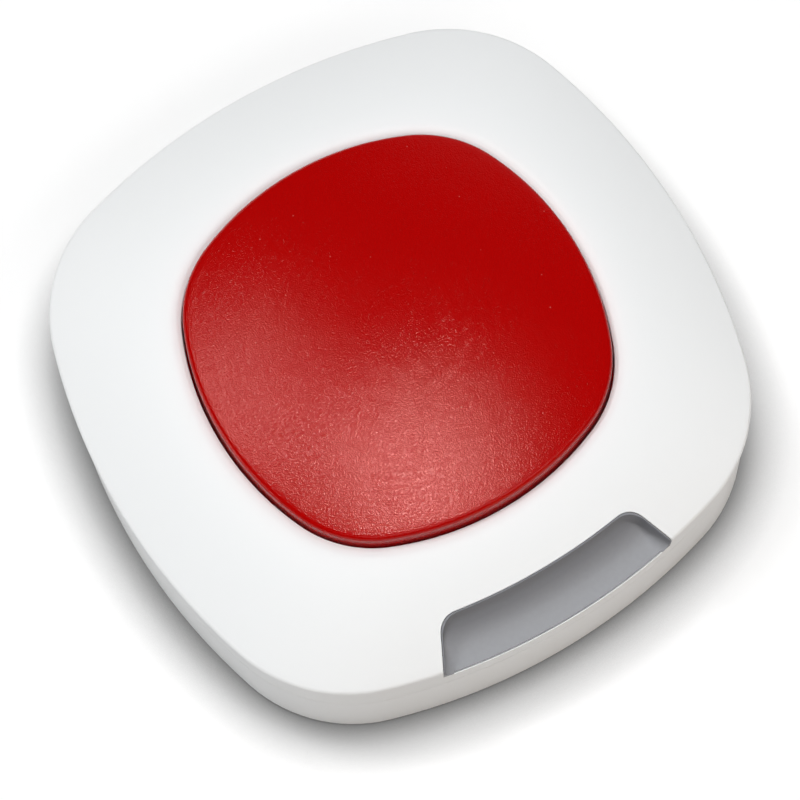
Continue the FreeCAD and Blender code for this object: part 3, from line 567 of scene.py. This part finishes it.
def cove_height(spot, corner_share, distance):
    """The cove's floor, which rises in a deep round at the back and in small ones at the ends."""
    behind = max(0.0, (spot - FRONT_CENTRE).length - (NOTCH_BACK_RADIUS + COVE_EDGE))
    back = quarter_round(COVE_BACK_ROUND, behind)
    small = COVE_SIDE_ROUND + (COVE_CORNER_ROUND - COVE_SIDE_ROUND) * corner_share
    side = quarter_round(small, distance)
    return WINDOW_FLOOR + (back ** 4 + side ** 4) ** 0.25


def cove_wall(path, edge):
    """The path at the top, and under it rows that close in on the cove's floor."""
    vertices = [(point.x, point.y, CREST + 5 * SPARE) for point, _ in path]
    for row in range(COVE_ROWS + 1):
        distance = COVE_CORNER_ROUND * (1 - math.cos(math.pi / 2 * row / COVE_ROWS))
        for index, (point, normal) in enumerate(path):
            spot = point + normal * distance
            # From 0 at both ends of the path to 1 along the back
            along = min(1.0, min(index, len(path) - 1 - index) / edge)
            vertices.append((spot.x, spot.y, cove_height(spot, along ** 2, distance)))
    return vertices


def cove_floor(vertices, first, last, edge):
    """Rows of point numbers inside the lowest line of the wall, parallel to the bowed back."""
    rows = []
    for index in range(edge):
        one, other = first + index, last - index
        start = Vector(vertices[one][:2]) - FRONT_CENTRE
        turn = 2 * math.atan2(abs(start.x), -start.y)
        way = 1 if start.x < 0 else -1
        row = [one]
        for step in range(1, COVE_BACK_STEPS):
            spot = FRONT_CENTRE + Matrix.Rotation(way * turn * step / COVE_BACK_STEPS, 2) @ start
            row.append(len(vertices))
            vertices.append((spot.x, spot.y, cove_height(spot, 0.0, COVE_CORNER_ROUND)))
        rows.append(row + [other])
    rows.append(list(range(first + edge, last - edge + 1)))
    return rows


def cove_cutter():
    """What is cut from the window block: a trough with a deep round back and small round ends."""
    path = notch_path(
        COVE_EDGE, COVE_OUTLINE_ROUND, CASE_HALF + 3 * SPARE,
        side_steps=COVE_SIDE_STEPS, corner_steps=COVE_CORNER_STEPS, back_steps=COVE_BACK_STEPS,
    )
    count = len(path)
    edge = COVE_SIDE_STEPS + COVE_CORNER_STEPS
    vertices = cove_wall(path, edge)
    last = len(vertices) - 1
    faces = []
    for row in range(COVE_ROWS + 1):
        for index in range(count - 1):
            corner = row * count + index
            faces.append((corner, corner + 1, corner + 1 + count, corner + count))
    floor = cove_floor(vertices, last + 1 - count, last, edge)
    for one, other in zip(floor, floor[1:]):
        for step in range(COVE_BACK_STEPS):
            faces.append((one[step], one[step + 1], other[step + 1], other[step]))
    faces.append(tuple(range(count)))
    starts = [row * count for row in range(COVE_ROWS + 2)]
    ends = [start + count - 1 for start in reversed(starts)]
    faces.append(tuple(starts + floor[0][1:-1] + ends))
    return new_object("cove_cutter", vertices, faces)


def along_front(name, profile, reach=24 * MM, steps=60):
    """A solid that carries a profile of (distance in from the case, height) along the bowed front."""
    rings = []
    for step in range(steps + 1):
        angle = (-reach + 2 * reach * step / steps) / CASE_SIDE_RADIUS
        ring = []
        for distance, height in profile:
            radius = CASE_SIDE_RADIUS - distance
            ring.append((radius * math.sin(angle), FRONT_CENTRE_Y - radius * math.cos(angle), height))
        rings.append(ring)
    return stack(name, rings)


def cover_notch():
    """What the cover loses for the window: down to the lip at the front, to the seat behind it."""
    low = WINDOW_FLOOR - LIP_ROUND
    high = CREST + 5 * SPARE
    seat = WINDOW_UNDER - WINDOW_GAP
    profile = [(-3 * SPARE, high), (-3 * SPARE, low)]
    for step in range(LIP_STEPS + 1):
        angle = math.pi / 2 * (1 - step / LIP_STEPS)
        distance = skirt_inset(low) + LIP_ROUND * (1 - math.sin(angle))
        profile.append((distance, low + LIP_ROUND * math.cos(angle)))
    profile += [(LIP_TOP + skirt_inset(low), WINDOW_FLOOR), (LIP_BASE, seat)]
    profile += [(NOTCH_CUT_DEPTH, seat), (NOTCH_CUT_DEPTH, high)]
    cutter = along_front("cover_notch", profile)
    combine(cutter, "INTERSECT", notch_prism("notch", 0.0, NOTCH_ROUND))
    return cutter


def window_tab():
    """The tab under the cover that takes the light of the lamps, on two legs that stand on the board."""
    front_left = (-TAB_HALF, TAB_BACK - TAB_DEPTH, TAB_BOTTOM)
    tab = box_prism("tab", front_left, (TAB_HALF, TAB_BACK, TAB_BOTTOM + TAB_THICK))
    room = outline_points(inset(CASE, WALL + TAB_CLEARANCE))
    combine(tab, "INTERSECT", prism("tab_room", room, TAB_BOTTOM - SPARE, TAB_BOTTOM + 3 * SPARE))
    for x in (-LEG_X, LEG_X):
        foot = (x - LEG_HALF_WIDTH, LEG_Y - LEG_HALF_DEPTH, window_low.z)
        top = (x + LEG_HALF_WIDTH, LEG_Y + LEG_HALF_DEPTH, TAB_BOTTOM + TAB_THICK / 2)
        combine(tab, "UNION", box_prism("leg", foot, top))
    return tab


def make_window():
    """The block flush with the dome, in the notch's outline, less the cover's lip and its own cove."""
    rings = [at(inset(CASE, skirt_inset(WINDOW_UNDER)), WINDOW_UNDER)]
    rings += skirt_rings(WINDOW_UNDER)
    rings += rim_rings()
    rings += dome_rings(WINDOW_DOME_STEPS)
    rings.append(at(dome_outline(WINDOW_DOME_STEPS), WINDOW_UNDER))
    block = sweep("window_block", rings)
    combine(block, "INTERSECT", notch_prism("window_outline", WINDOW_GAP, NOTCH_ROUND - WINDOW_GAP))
    low, high = WINDOW_UNDER - SPARE, WINDOW_FLOOR + WINDOW_GAP
    base = LIP_BASE + WINDOW_GAP
    top = LIP_TOP + skirt_inset(low) + WINDOW_GAP
    outside = -2 * SPARE
    profile = [(outside, low), (base, low), (base, WINDOW_UNDER)]
    profile += [(top, WINDOW_FLOOR), (top, high), (outside, high)]
    combine(block, "DIFFERENCE", along_front("lip", profile))
    combine(block, "UNION", window_tab())
    combine(block, "DIFFERENCE", cove_cutter())
    return block


# Push cap

CAP = inset(OPENING, CAP_GAP)
CAP_BALL = (CAP[0] ** 2 + CAP_RISE ** 2) / (2 * CAP_RISE)
CAP_INNER_BALL = CAP_BALL - CAP_THICK


def on_ball(radius, x, y, drop=0.0):
    """Height of a ball's surface whose top lies a drop under the cap's top."""
    return CAP_TOP - drop - radius + math.sqrt(radius ** 2 - x * x - y * y)


def cap_top_rings(fan=30, bend=9):
    """From near the middle of the cap out over its curved top, and over its round edge."""
    edge_slope = math.asin(CAP[0] / CAP_BALL)
    top_edge = outline_points(inset(CAP, CAP_ROUND * (1 - math.sin(edge_slope))))
    rings = []
    for step in range(1, fan + 1):
        share = step / fan
        ring = [p * share for p in top_edge]
        rings.append([Vector((p.x, p.y, on_ball(CAP_BALL, p.x, p.y))) for p in ring])
    heights = [point.z for point in rings[-1]]
    for step in range(1, bend + 1):
        angle = edge_slope + (math.pi / 2 - edge_slope) * step / bend
        ring = outline_points(inset(CAP, CAP_ROUND * (1 - math.sin(angle))))
        drop = CAP_ROUND * (math.cos(edge_slope) - math.cos(angle))
        rings.append([Vector((p.x, p.y, z - drop)) for p, z in zip(ring, heights)])
    return rings


def cap_under_rings(fan=8):
    """From the foot of the cap's inner wall, along its curved underside, to near the middle."""
    inner = inset(CAP, CAP_WALL)
    inner_points = outline_points(inner)
    rings = [at(inner, CAP_FOOT)]
    for step in range(fan):
        share = 1 - step / fan
        ring = []
        for p in inner_points:
            x, y = p.x * share, p.y * share
            ring.append(Vector((x, y, on_ball(CAP_INNER_BALL, x, y, CAP_THICK))))
        rings.append(ring)
    return rings


def make_cap():
    """The hollow cap and its flange, from the top over the edge to the underside, closed in the middle."""
    flange = inset(OPENING, -FLANGE_REACH)
    flange_top = CAP_FOOT + FLANGE_THICK
    rings = cap_top_rings()
    rings += [at(CAP, flange_top), at(flange, flange_top), at(flange, CAP_FOOT)]
    rings += cap_under_rings()
    vertices, faces = skin(rings)
    count = len(rings[0])
    top = len(vertices)
    under = top + 1
    last = top - count
    vertices += [Vector((0, 0, CAP_TOP)), Vector((0, 0, CAP_TOP - CAP_THICK))]
    for index in range(count):
        after = (index + 1) % count
        faces.append((index, after, top))
        faces.append((last + index, last + after, under))
    return new_object("cap", vertices, faces)


def cap_rib(name, lengthways, steps=20):
    """A stiffening rib across the cap, its top edge buried in the curved underside."""
    reach = CAP[0] - CAP_WALL + RIB_INTO_WALL
    low = boot_high.z
    rings = []
    for step in range(steps + 1):
        place = -reach + 2 * reach * step / steps
        top = on_ball(CAP_INNER_BALL, place, 0, CAP_THICK) + BURIED
        ring = []
        for side, height in ((-1, low), (1, low), (1, top), (-1, top)):
            across = side * RIB_THICK / 2
            spot = (across, place) if lengthways else (place, across)
            ring.append((*spot, height))
        rings.append(ring)
    return stack(name, rings)


def add_cap_ribs(cap):
    """What the cap carries inside: two crossed ribs, the ring that the boot pushes on, and the stem."""
    top = CAP_TOP - CAP_THICK + BURIED
    low = boot_high.z
    inside = prism("boot_ring", circle(0, 0, BOOT_RING_RADIUS, FINE_CIRCLE_STEPS), low, top)
    bore = circle(0, 0, BOOT_RING_BORE, FINE_CIRCLE_STEPS)
    combine(inside, "DIFFERENCE", prism("boot_ring_bore", bore, low - SPARE, top - 2 * BURIED))
    stem = prism("stem", circle(0, 0, STEM_RADIUS), plunger_high.z + STEM_CLEARANCE, top)
    combine(inside, "UNION", stem)
    combine(inside, "UNION", cap_rib("rib_across", False))
    combine(inside, "UNION", cap_rib("rib_along", True))
    combine(cap, "UNION", inside)


# Return boot: the silicone dome under the cap, which flattens as the cap goes down; here it is built only
# in its resting shape

def make_boot():
    """A ring of silicone: its foot, up the web to the crown, and back down inside."""
    foot = boot_low.z
    foot_top = foot + BOOT_FOOT_THICK
    wide = boot_high.x
    bore = wide - BOOT_FOOT_WIDTH
    crown = boot_high.z
    crown_under = crown - BOOT_CROWN_THICK
    outside = [
        (bore, foot), (wide, foot), (wide, foot_top - BOOT_FOOT_BEVEL), (wide - BOOT_FOOT_BEVEL, foot_top),
        (wide - BOOT_WEB_INSET, foot_top), (BOOT_RING_RADIUS, crown_under), (BOOT_RING_RADIUS, crown),
    ]
    inside = [
        (BOOT_CROWN_BORE, crown), (BOOT_CROWN_BORE, crown_under), (BOOT_WEB_BORE, crown_under),
        (bore, foot_top),
    ]
    rings = []
    for radius, height in outside + inside:
        rings.append(level_ring(circle(0, 0, radius, FINE_CIRCLE_STEPS), height))
    return sweep("boot", rings)


# Screws and feet

def steady(radius):
    """The same radius at every angle."""
    return lambda angle: radius


def thread_row(height, radius, pitch, size):
    """The radius round a row of the thread, which climbs one pitch each turn."""
    def radius_at(angle):
        phase = (height / pitch - angle / (2 * math.pi)) % 1.0
        ridge = max(0.0, 1 - abs(phase - 0.5) / THREAD_RIDGE_SHARE)
        return size * radius * (THREAD_CORE_SHARE + (1 - THREAD_CORE_SHARE) * ridge)
    return radius_at


def cross_recess(x, y, head_radius, low, floor):
    """What is cut from a screw head: two crossed slots."""
    arm = RECESS_REACH_SHARE * head_radius
    half = RECESS_HALF_SHARE * head_radius
    recess = box_prism("recess", (x - arm, y - half, low), (x + arm, y + half, floor))
    other = box_prism("recess_other", (x - half, y - arm, low), (x + half, y + arm, floor))
    combine(recess, "UNION", other)
    return recess


def make_screw(node, head_radius, head_height, radius, pitch):
    """A pan head screw for plastic, standing on its head, with a cross recess and a blunt point."""
    low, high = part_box(node)
    x, y = middle(low, high)
    seat = low.z + head_height
    rows = []
    for share, level in HEAD_PROFILE:
        rows.append((low.z + level * head_height, steady(share * head_radius)))
    rows.append((seat, steady(NECK_SHARE * radius)))
    rows.append((seat + NECK_TURNS * pitch, steady(NECK_SHARE * radius)))
    start = seat + THREAD_START_TURNS * pitch
    steps = THREAD_ROWS_PER_TURN * int((high.z - seat) / pitch)
    for step in range(steps + 1):
        height = start + (high.z - start) * step / steps
        size = min(1.0, POINT_SHARE + (1 - POINT_SHARE) * (high.z - height) / POINT_LENGTH)
        rows.append((height, thread_row(height, radius, pitch, size)))
    screw = turned(node + "_threaded", x, y, rows, SCREW_CIRCLE_STEPS)
    floor = low.z + RECESS_DEPTH_SHARE * head_height
    combine(screw, "DIFFERENCE", cross_recess(x, y, head_radius, low.z - SPARE, floor))
    return screw


def make_foot(node):
    """A stick-on rubber foot with a rounded edge."""
    low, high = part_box(node)
    x, y = middle(low, high)
    radius = (high.x - low.x) / 2
    thick = high.z - low.z
    rows = []
    for share, level in FOOT_PROFILE:
        rows.append((low.z + level * thick, steady(share * radius)))
    return turned(node + "_rounded", x, y, rows, FOOT_CIRCLE_STEPS)


# Nodes of the materials

def feed(tree, value, socket):
    """Give a socket a plain value, or link it to the output of another node."""
    if isinstance(value, bpy.types.NodeSocket):
        tree.links.new(value, socket)
    else:
        socket.default_value = value


def shader(name, settings):
    """A new material, with plain values on its shader."""
    material = bpy.data.materials.new(name)
    material.use_nodes = True
    tree = material.node_tree
    bsdf = tree.nodes["Principled BSDF"]
    for socket, value in settings.items():
        bsdf.inputs[socket].default_value = value
    return material, tree, bsdf


def texture(tree, kind, scale, detail=None):
    """A 3D texture in object space, with its scale in features per metre."""
    place = tree.nodes.new("ShaderNodeTexCoord")
    node = tree.nodes.new(kind)
    node.inputs["Scale"].default_value = scale
    if detail is not None:
        node.inputs["Detail"].default_value = detail
    tree.links.new(place.outputs["Object"], node.inputs["Vector"])
    return node


def height_in(tree, coordinates):
    """The Z of one kind of texture coordinates."""
    place = tree.nodes.new("ShaderNodeTexCoord")
    parts = tree.nodes.new("ShaderNodeSeparateXYZ")
    tree.links.new(place.outputs[coordinates], parts.inputs["Vector"])
    return parts.outputs["Z"]


def rescale(tree, source, start=0.0, end=1.0, low=0.0, high=1.0, interpolation="LINEAR"):
    """Carry the range from start to end over to the range from low to high."""
    node = tree.nodes.new("ShaderNodeMapRange")
    node.interpolation_type = interpolation
    for socket, value in (("From Min", start), ("From Max", end), ("To Min", low), ("To Max", high)):
        node.inputs[socket].default_value = value
    tree.links.new(source, node.inputs["Value"])
    return node.outputs["Result"]


def blend(tree, factor, first, second, kind="MIX"):
    """A mix of two colours, each a plain value or another node's output."""
    node = tree.nodes.new("ShaderNodeMix")
    node.data_type = "RGBA"
    node.blend_type = kind
    feed(tree, factor, node.inputs["Factor"])
    feed(tree, first, node.inputs["A"])
    feed(tree, second, node.inputs["B"])
    return node.outputs["Result"]


def calculate(tree, operation, first, second):
    """The result of a math node on plain values or other nodes' outputs."""
    node = tree.nodes.new("ShaderNodeMath")
    node.operation = operation
    feed(tree, first, node.inputs[0])
    feed(tree, second, node.inputs[1])
    return node.outputs[0]


def uneven_gloss(tree, bsdf, noise, low, high):
    """Let the roughness go up and down with a noise."""
    tree.links.new(rescale(tree, noise.outputs["Fac"], low=low, high=high), bsdf.inputs["Roughness"])


def bump(tree, bsdf, noise, strength, depth):
    """Let the surface go up and down with a noise."""
    node = tree.nodes.new("ShaderNodeBump")
    node.inputs["Strength"].default_value = strength
    node.inputs["Distance"].default_value = depth
    tree.links.new(noise.outputs["Fac"], node.inputs["Height"])
    tree.links.new(node.outputs["Normal"], bsdf.inputs["Normal"])


# Materials

def moulded(name, color, roughness, grain=2600, depth=0.02 * MM, spread=0.05, specular=0.5):
    """Moulded plastic: an even colour, a fine surface grain and a slightly uneven gloss."""
    material, tree, bsdf = shader(name, {"Base Color": (*color, 1), "Specular IOR Level": specular})
    noise = texture(tree, "ShaderNodeTexNoise", grain, detail=3)
    uneven_gloss(tree, bsdf, noise, roughness - spread, roughness + spread)
    bump(tree, bsdf, noise, strength=0.5, depth=depth)
    return material


def metal(name, color, roughness, grain=900, depth=0.01 * MM, spread=0.08):
    """Metal with a slightly uneven surface and gloss."""
    material, tree, bsdf = shader(name, {"Base Color": (*color, 1), "Metallic": 1})
    noise = texture(tree, "ShaderNodeTexNoise", grain, detail=4)
    uneven_gloss(tree, bsdf, noise, roughness - spread, roughness + spread)
    bump(tree, bsdf, noise, strength=0.2, depth=depth)
    return material


def cap_red():
    """Deep red semi gloss plastic with a fine grain, reddish highlights and a few tiny pale specks."""
    dark_red = (0.38, 0.0, 0.0, 1)
    light_red = (0.44, 0.0, 0.0, 1)
    speck_pink = (0.55, 0.09, 0.08, 1)
    highlight_tint = (1.0, 0.55, 0.50, 1)
    settings = {"Specular IOR Level": 0.31, "Specular Tint": highlight_tint}
    material, tree, bsdf = shader("cap_red", settings)
    grain = texture(tree, "ShaderNodeTexNoise", scale=6500, detail=0)
    mottle = texture(tree, "ShaderNodeTexNoise", scale=420, detail=4)
    specks = texture(tree, "ShaderNodeTexVoronoi", scale=330)
    red = blend(tree, grain.outputs["Fac"], dark_red, light_red)
    near_speck = rescale(tree, specks.outputs["Distance"], start=0.045, end=0.02)
    speckled = blend(tree, near_speck, red, speck_pink)
    tree.links.new(speckled, bsdf.inputs["Base Color"])
    uneven_gloss(tree, bsdf, mottle, low=0.145, high=0.165)
    bump(tree, bsdf, grain, strength=1.0, depth=0.026 * MM)
    return material


def window_grey():
    """Milky smoke plastic of the light window, matt, with painted shade that darkens it up the cove's
    sides.
    """
    floor_grey = (0.345, 0.352, 0.372, 1)
    painted_shade_grey = (0.25, 0.258, 0.28, 1)
    painted_shade_height = 2.4 * MM
    material, tree, bsdf = shader("window_grey", {"Roughness": 0.5, "Specular IOR Level": 0.12})
    noise = texture(tree, "ShaderNodeTexNoise", scale=1500, detail=2)
    # Painted shade: the grey turns darker with height up the cove's back and sides.
    height = rescale(tree, height_in(tree, "Object"), start=WINDOW_FLOOR, end=WINDOW_FLOOR + painted_shade_height)
    grey = blend(tree, height, floor_grey, painted_shade_grey)
    cloud = rescale(tree, noise.outputs["Fac"], low=0.96, high=1.04)
    tree.links.new(blend(tree, 1.0, grey, cloud, kind="MULTIPLY"), bsdf.inputs["Base Color"])
    bump(tree, bsdf, noise, strength=0.3, depth=0.008 * MM)
    return material


def board_green():
    """Green solder mask over faint copper runs."""
    material, tree, bsdf = shader("board_green", {"Roughness": 0.35})
    runs = texture(tree, "ShaderNodeTexBrick", scale=260)
    runs.inputs["Color1"].default_value = (0.02, 0.14, 0.06, 1)
    runs.inputs["Color2"].default_value = (0.025, 0.17, 0.075, 1)
    runs.inputs["Mortar"].default_value = (0.04, 0.26, 0.11, 1)
    tree.links.new(runs.outputs["Color"], bsdf.inputs["Base Color"])
    return material


def dress():
    """Give every record slot its material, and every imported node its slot's material."""
    looks = {
        "case_white": moulded(
            "case_white", (0.895, 0.91, 0.915), 0.5, grain=2000, depth=0.01 * MM, specular=0.25,
        ),
        "button_red": cap_red(),
        "window_smoke": window_grey(),
        "board_green": board_green(),
        "black_plastic": moulded("black_plastic", (0.02, 0.02, 0.022), 0.5),
        "white_nylon": moulded("white_nylon", (0.75, 0.75, 0.70), 0.45),
        "grey_silicone": moulded("grey_silicone", (0.35, 0.35, 0.36), 0.7),
        "foot_rubber": moulded("foot_rubber", (0.03, 0.03, 0.032), 0.75),
        "cell_can": metal("cell_can", (0.45, 0.46, 0.50), 0.35),
        "spring_steel": metal("spring_steel", (0.66, 0.65, 0.60), 0.3),
        "screw_steel": metal("screw_steel", (0.55, 0.55, 0.54), 0.35),
        "tin_plate": metal("tin_plate", (0.70, 0.71, 0.72), 0.25),
        "capacitor_can": metal("capacitor_can", (0.66, 0.67, 0.69), 0.3),
        "antenna_brass": metal("antenna_brass", (0.72, 0.52, 0.22), 0.3),
        "led_resin": moulded("led_resin", (0.80, 0.66, 0.22), 0.2),
    }
    for entry in frame["record"]["subparts"]:
        mesh = frame["nodes"][entry["node"]].data
        mesh.materials.clear()
        mesh.materials.append(looks[entry["material_slot"]])
    return looks


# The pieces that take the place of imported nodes

def settle(obj, node, body, slot, looks):
    """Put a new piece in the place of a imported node."""
    shade(obj)
    obj.data.materials.clear()
    obj.data.materials.append(looks[slot])
    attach(obj, body)
    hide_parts(node)


looks = dress()

cover = make_cover()
add_bosses(cover)
combine(cover, "DIFFERENCE", cover_notch())
settle(cover, "front_cover", "housing", "case_white", looks)

settle(make_window(), "light_guide", "housing", "window_smoke", looks)

cap = make_cap()
add_cap_ribs(cap)
settle(cap, "panic_button", "button", "button_red", looks)

boot = make_boot()
settle(boot, "return_boot", "housing", "grey_silicone", looks)
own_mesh(boot)

for number in range(1, 5):
    case_screw = "case_screw_%d" % number
    settle(make_screw(case_screw, *CASE_SCREW), case_screw, "housing", "screw_steel", looks)
    board_screw = "board_screw_%d" % number
    settle(make_screw(board_screw, *BOARD_SCREW), board_screw, "housing", "screw_steel", looks)
    rubber_foot = "rubber_foot_%d" % number
    settle(make_foot(rubber_foot), rubber_foot, "housing", "foot_rubber", looks)

# Floor: white, keeping the object's shadow from the lamps, with a painted contact shadow that is deepest
# where the case comes down to it

FLOOR_HALF = 3.0
FLOOR_DROP = 0.02 * MM
FLOOR_TONE = 0.66
FLOOR_LIFT = 0.38
PAINTED_SHADOW_REACH = 8 * MM
PAINTED_SHADOW_DEPTH = 1.6
PAINTED_SHADOW_SAMPLES = 12


def floor_white():
    """Matt white, darker close to the object by a painted contact shadow, and lifted where the camera,
    metal or glass sees it.
    """
    material, tree, bsdf = shader("floor_white", {"Roughness": 0.9, "Specular IOR Level": 0.0})
    # Painted contact shadow: the floor's colour and its lift turn darker where the object is near.
    painted_shadow_occlusion = tree.nodes.new("ShaderNodeAmbientOcclusion")
    painted_shadow_occlusion.samples = PAINTED_SHADOW_SAMPLES
    painted_shadow_occlusion.inputs["Distance"].default_value = PAINTED_SHADOW_REACH
    depth = calculate(tree, "POWER", painted_shadow_occlusion.outputs["AO"], PAINTED_SHADOW_DEPTH)
    for socket, tint in (("Base Color", FLOOR_TONE), ("Emission Color", 1.0)):
        tone = blend(tree, depth, (0, 0, 0, 1), (tint, tint, tint, 1))
        tree.links.new(tone, bsdf.inputs[socket])
    light_path = tree.nodes.new("ShaderNodeLightPath")
    seen = light_path.outputs["Is Camera Ray"]
    for ray in ("Is Glossy Ray", "Is Transmission Ray"):
        seen = calculate(tree, "MAXIMUM", seen, light_path.outputs[ray])
    lift = calculate(tree, "MULTIPLY", seen, FLOOR_LIFT)
    tree.links.new(lift, bsdf.inputs["Emission Strength"])
    return material


def make_floor():
    half, level = FLOOR_HALF, -FLOOR_DROP
    corners = [(-half, -half, level), (half, -half, level), (half, half, level), (-half, half, level)]
    floor = new_object("floor", corners, [(0, 1, 2, 3)])
    floor.data.materials.append(floor_white())


make_floor()

# Light: soft boxes overhead, behind on both sides and in front, and weak strips low down all round.
# The strip in front is warm, as the walls there are in the photograph.

LAMP_DISTANCE = 0.9
SOFT_SQUARE = (0.16, 0.16)
LONG_BOX = (1.0, 0.3)
SHORT_BOX = (0.5, 0.3)
LOW_STRIP = (0.5, 0.14)
WARM = (1.0, 0.55, 0.16)


def area_light(name, direction, size, power, color=(1, 1, 1)):
    """A soft box in some direction from the object, turned towards it."""
    light = bpy.data.lights.new(name, "AREA")
    light.shape = "RECTANGLE"
    light.size, light.size_y = size
    light.energy = power
    light.color = color
    lamp = bpy.data.objects.new(name, light)
    direction = Vector(direction).normalized()
    lamp.location = direction * LAMP_DISTANCE
    lamp.rotation_euler = direction.to_track_quat("Z", "Y").to_euler()
    bpy.context.scene.collection.objects.link(lamp)


area_light("overhead", (0.015, 0.0, 0.99), SOFT_SQUARE, 3.4)
area_light("back_left", (-0.22, 0.33, 0.92), SOFT_SQUARE, 1.7)
area_light("front", (0.02, -0.57, 0.82), LONG_BOX, 2.6)
area_light("low_left", (-0.96, 0.25, 0.10), LOW_STRIP, 1.4)
area_light("low_right", (0.93, -0.35, 0.10), LOW_STRIP, 0.1)
area_light("low_front", (0.22, -0.97, 0.10), LOW_STRIP, 0.55, WARM)
area_light("low_back", (0.0, 0.99, 0.10), LOW_STRIP, 0.4)
area_light("back_right", (0.60, 0.55, 0.58), SHORT_BOX, 0.4)

# The surround is brighter at the horizon and below it than overhead

HORIZON_STRENGTH = 0.2
SKY_STRENGTH = 0.08
HORIZON_TOP = 0.05
SKY_BOTTOM = 0.14


def make_surround():
    world = bpy.data.worlds.new("surround")
    bpy.context.scene.world = world
    world.use_nodes = True
    tree = world.node_tree
    strength = rescale(
        tree, height_in(tree, "Generated"), start=HORIZON_TOP, end=SKY_BOTTOM,
        low=HORIZON_STRENGTH, high=SKY_STRENGTH, interpolation="SMOOTHSTEP",
    )
    background = tree.nodes["Background"]
    background.inputs["Color"].default_value = (1, 1, 1, 1)
    tree.links.new(strength, background.inputs["Strength"])


make_surround()

# Camera, fitted to the photograph, with its sensor and lens in millimetres

AZIMUTH = math.radians(-26.33)
ELEVATION = math.radians(71.64)
ROLL = math.radians(-4.66)
DISTANCE = 620.15 * MM
TARGET = Vector((-0.464 * MM, -0.275 * MM, 1.05 * MM))
SENSOR_WIDTH = 36
LENS = 204.6
CLIP_START = 0.01


def make_camera():
    back = Vector((
        math.sin(AZIMUTH) * math.cos(ELEVATION),
        -math.cos(AZIMUTH) * math.cos(ELEVATION),
        math.sin(ELEVATION),
    ))
    right = Vector((math.cos(AZIMUTH), math.sin(AZIMUTH), 0))
    up = back.cross(right)
    rolled_right = right * math.cos(ROLL) + up * math.sin(ROLL)
    rolled_up = back.cross(rolled_right)
    camera_data = bpy.data.cameras.new("camera")
    camera_data.sensor_width = SENSOR_WIDTH
    camera_data.lens = LENS
    camera_data.clip_start = CLIP_START
    camera = bpy.data.objects.new("camera", camera_data)
    place = Matrix((rolled_right, rolled_up, back)).transposed().to_4x4()
    place.translation = TARGET + back * DISTANCE
    camera.matrix_world = place
    bpy.context.scene.collection.objects.link(camera)
    bpy.context.scene.camera = camera


make_camera()
bpy.context.scene.view_settings.view_transform = "Standard"
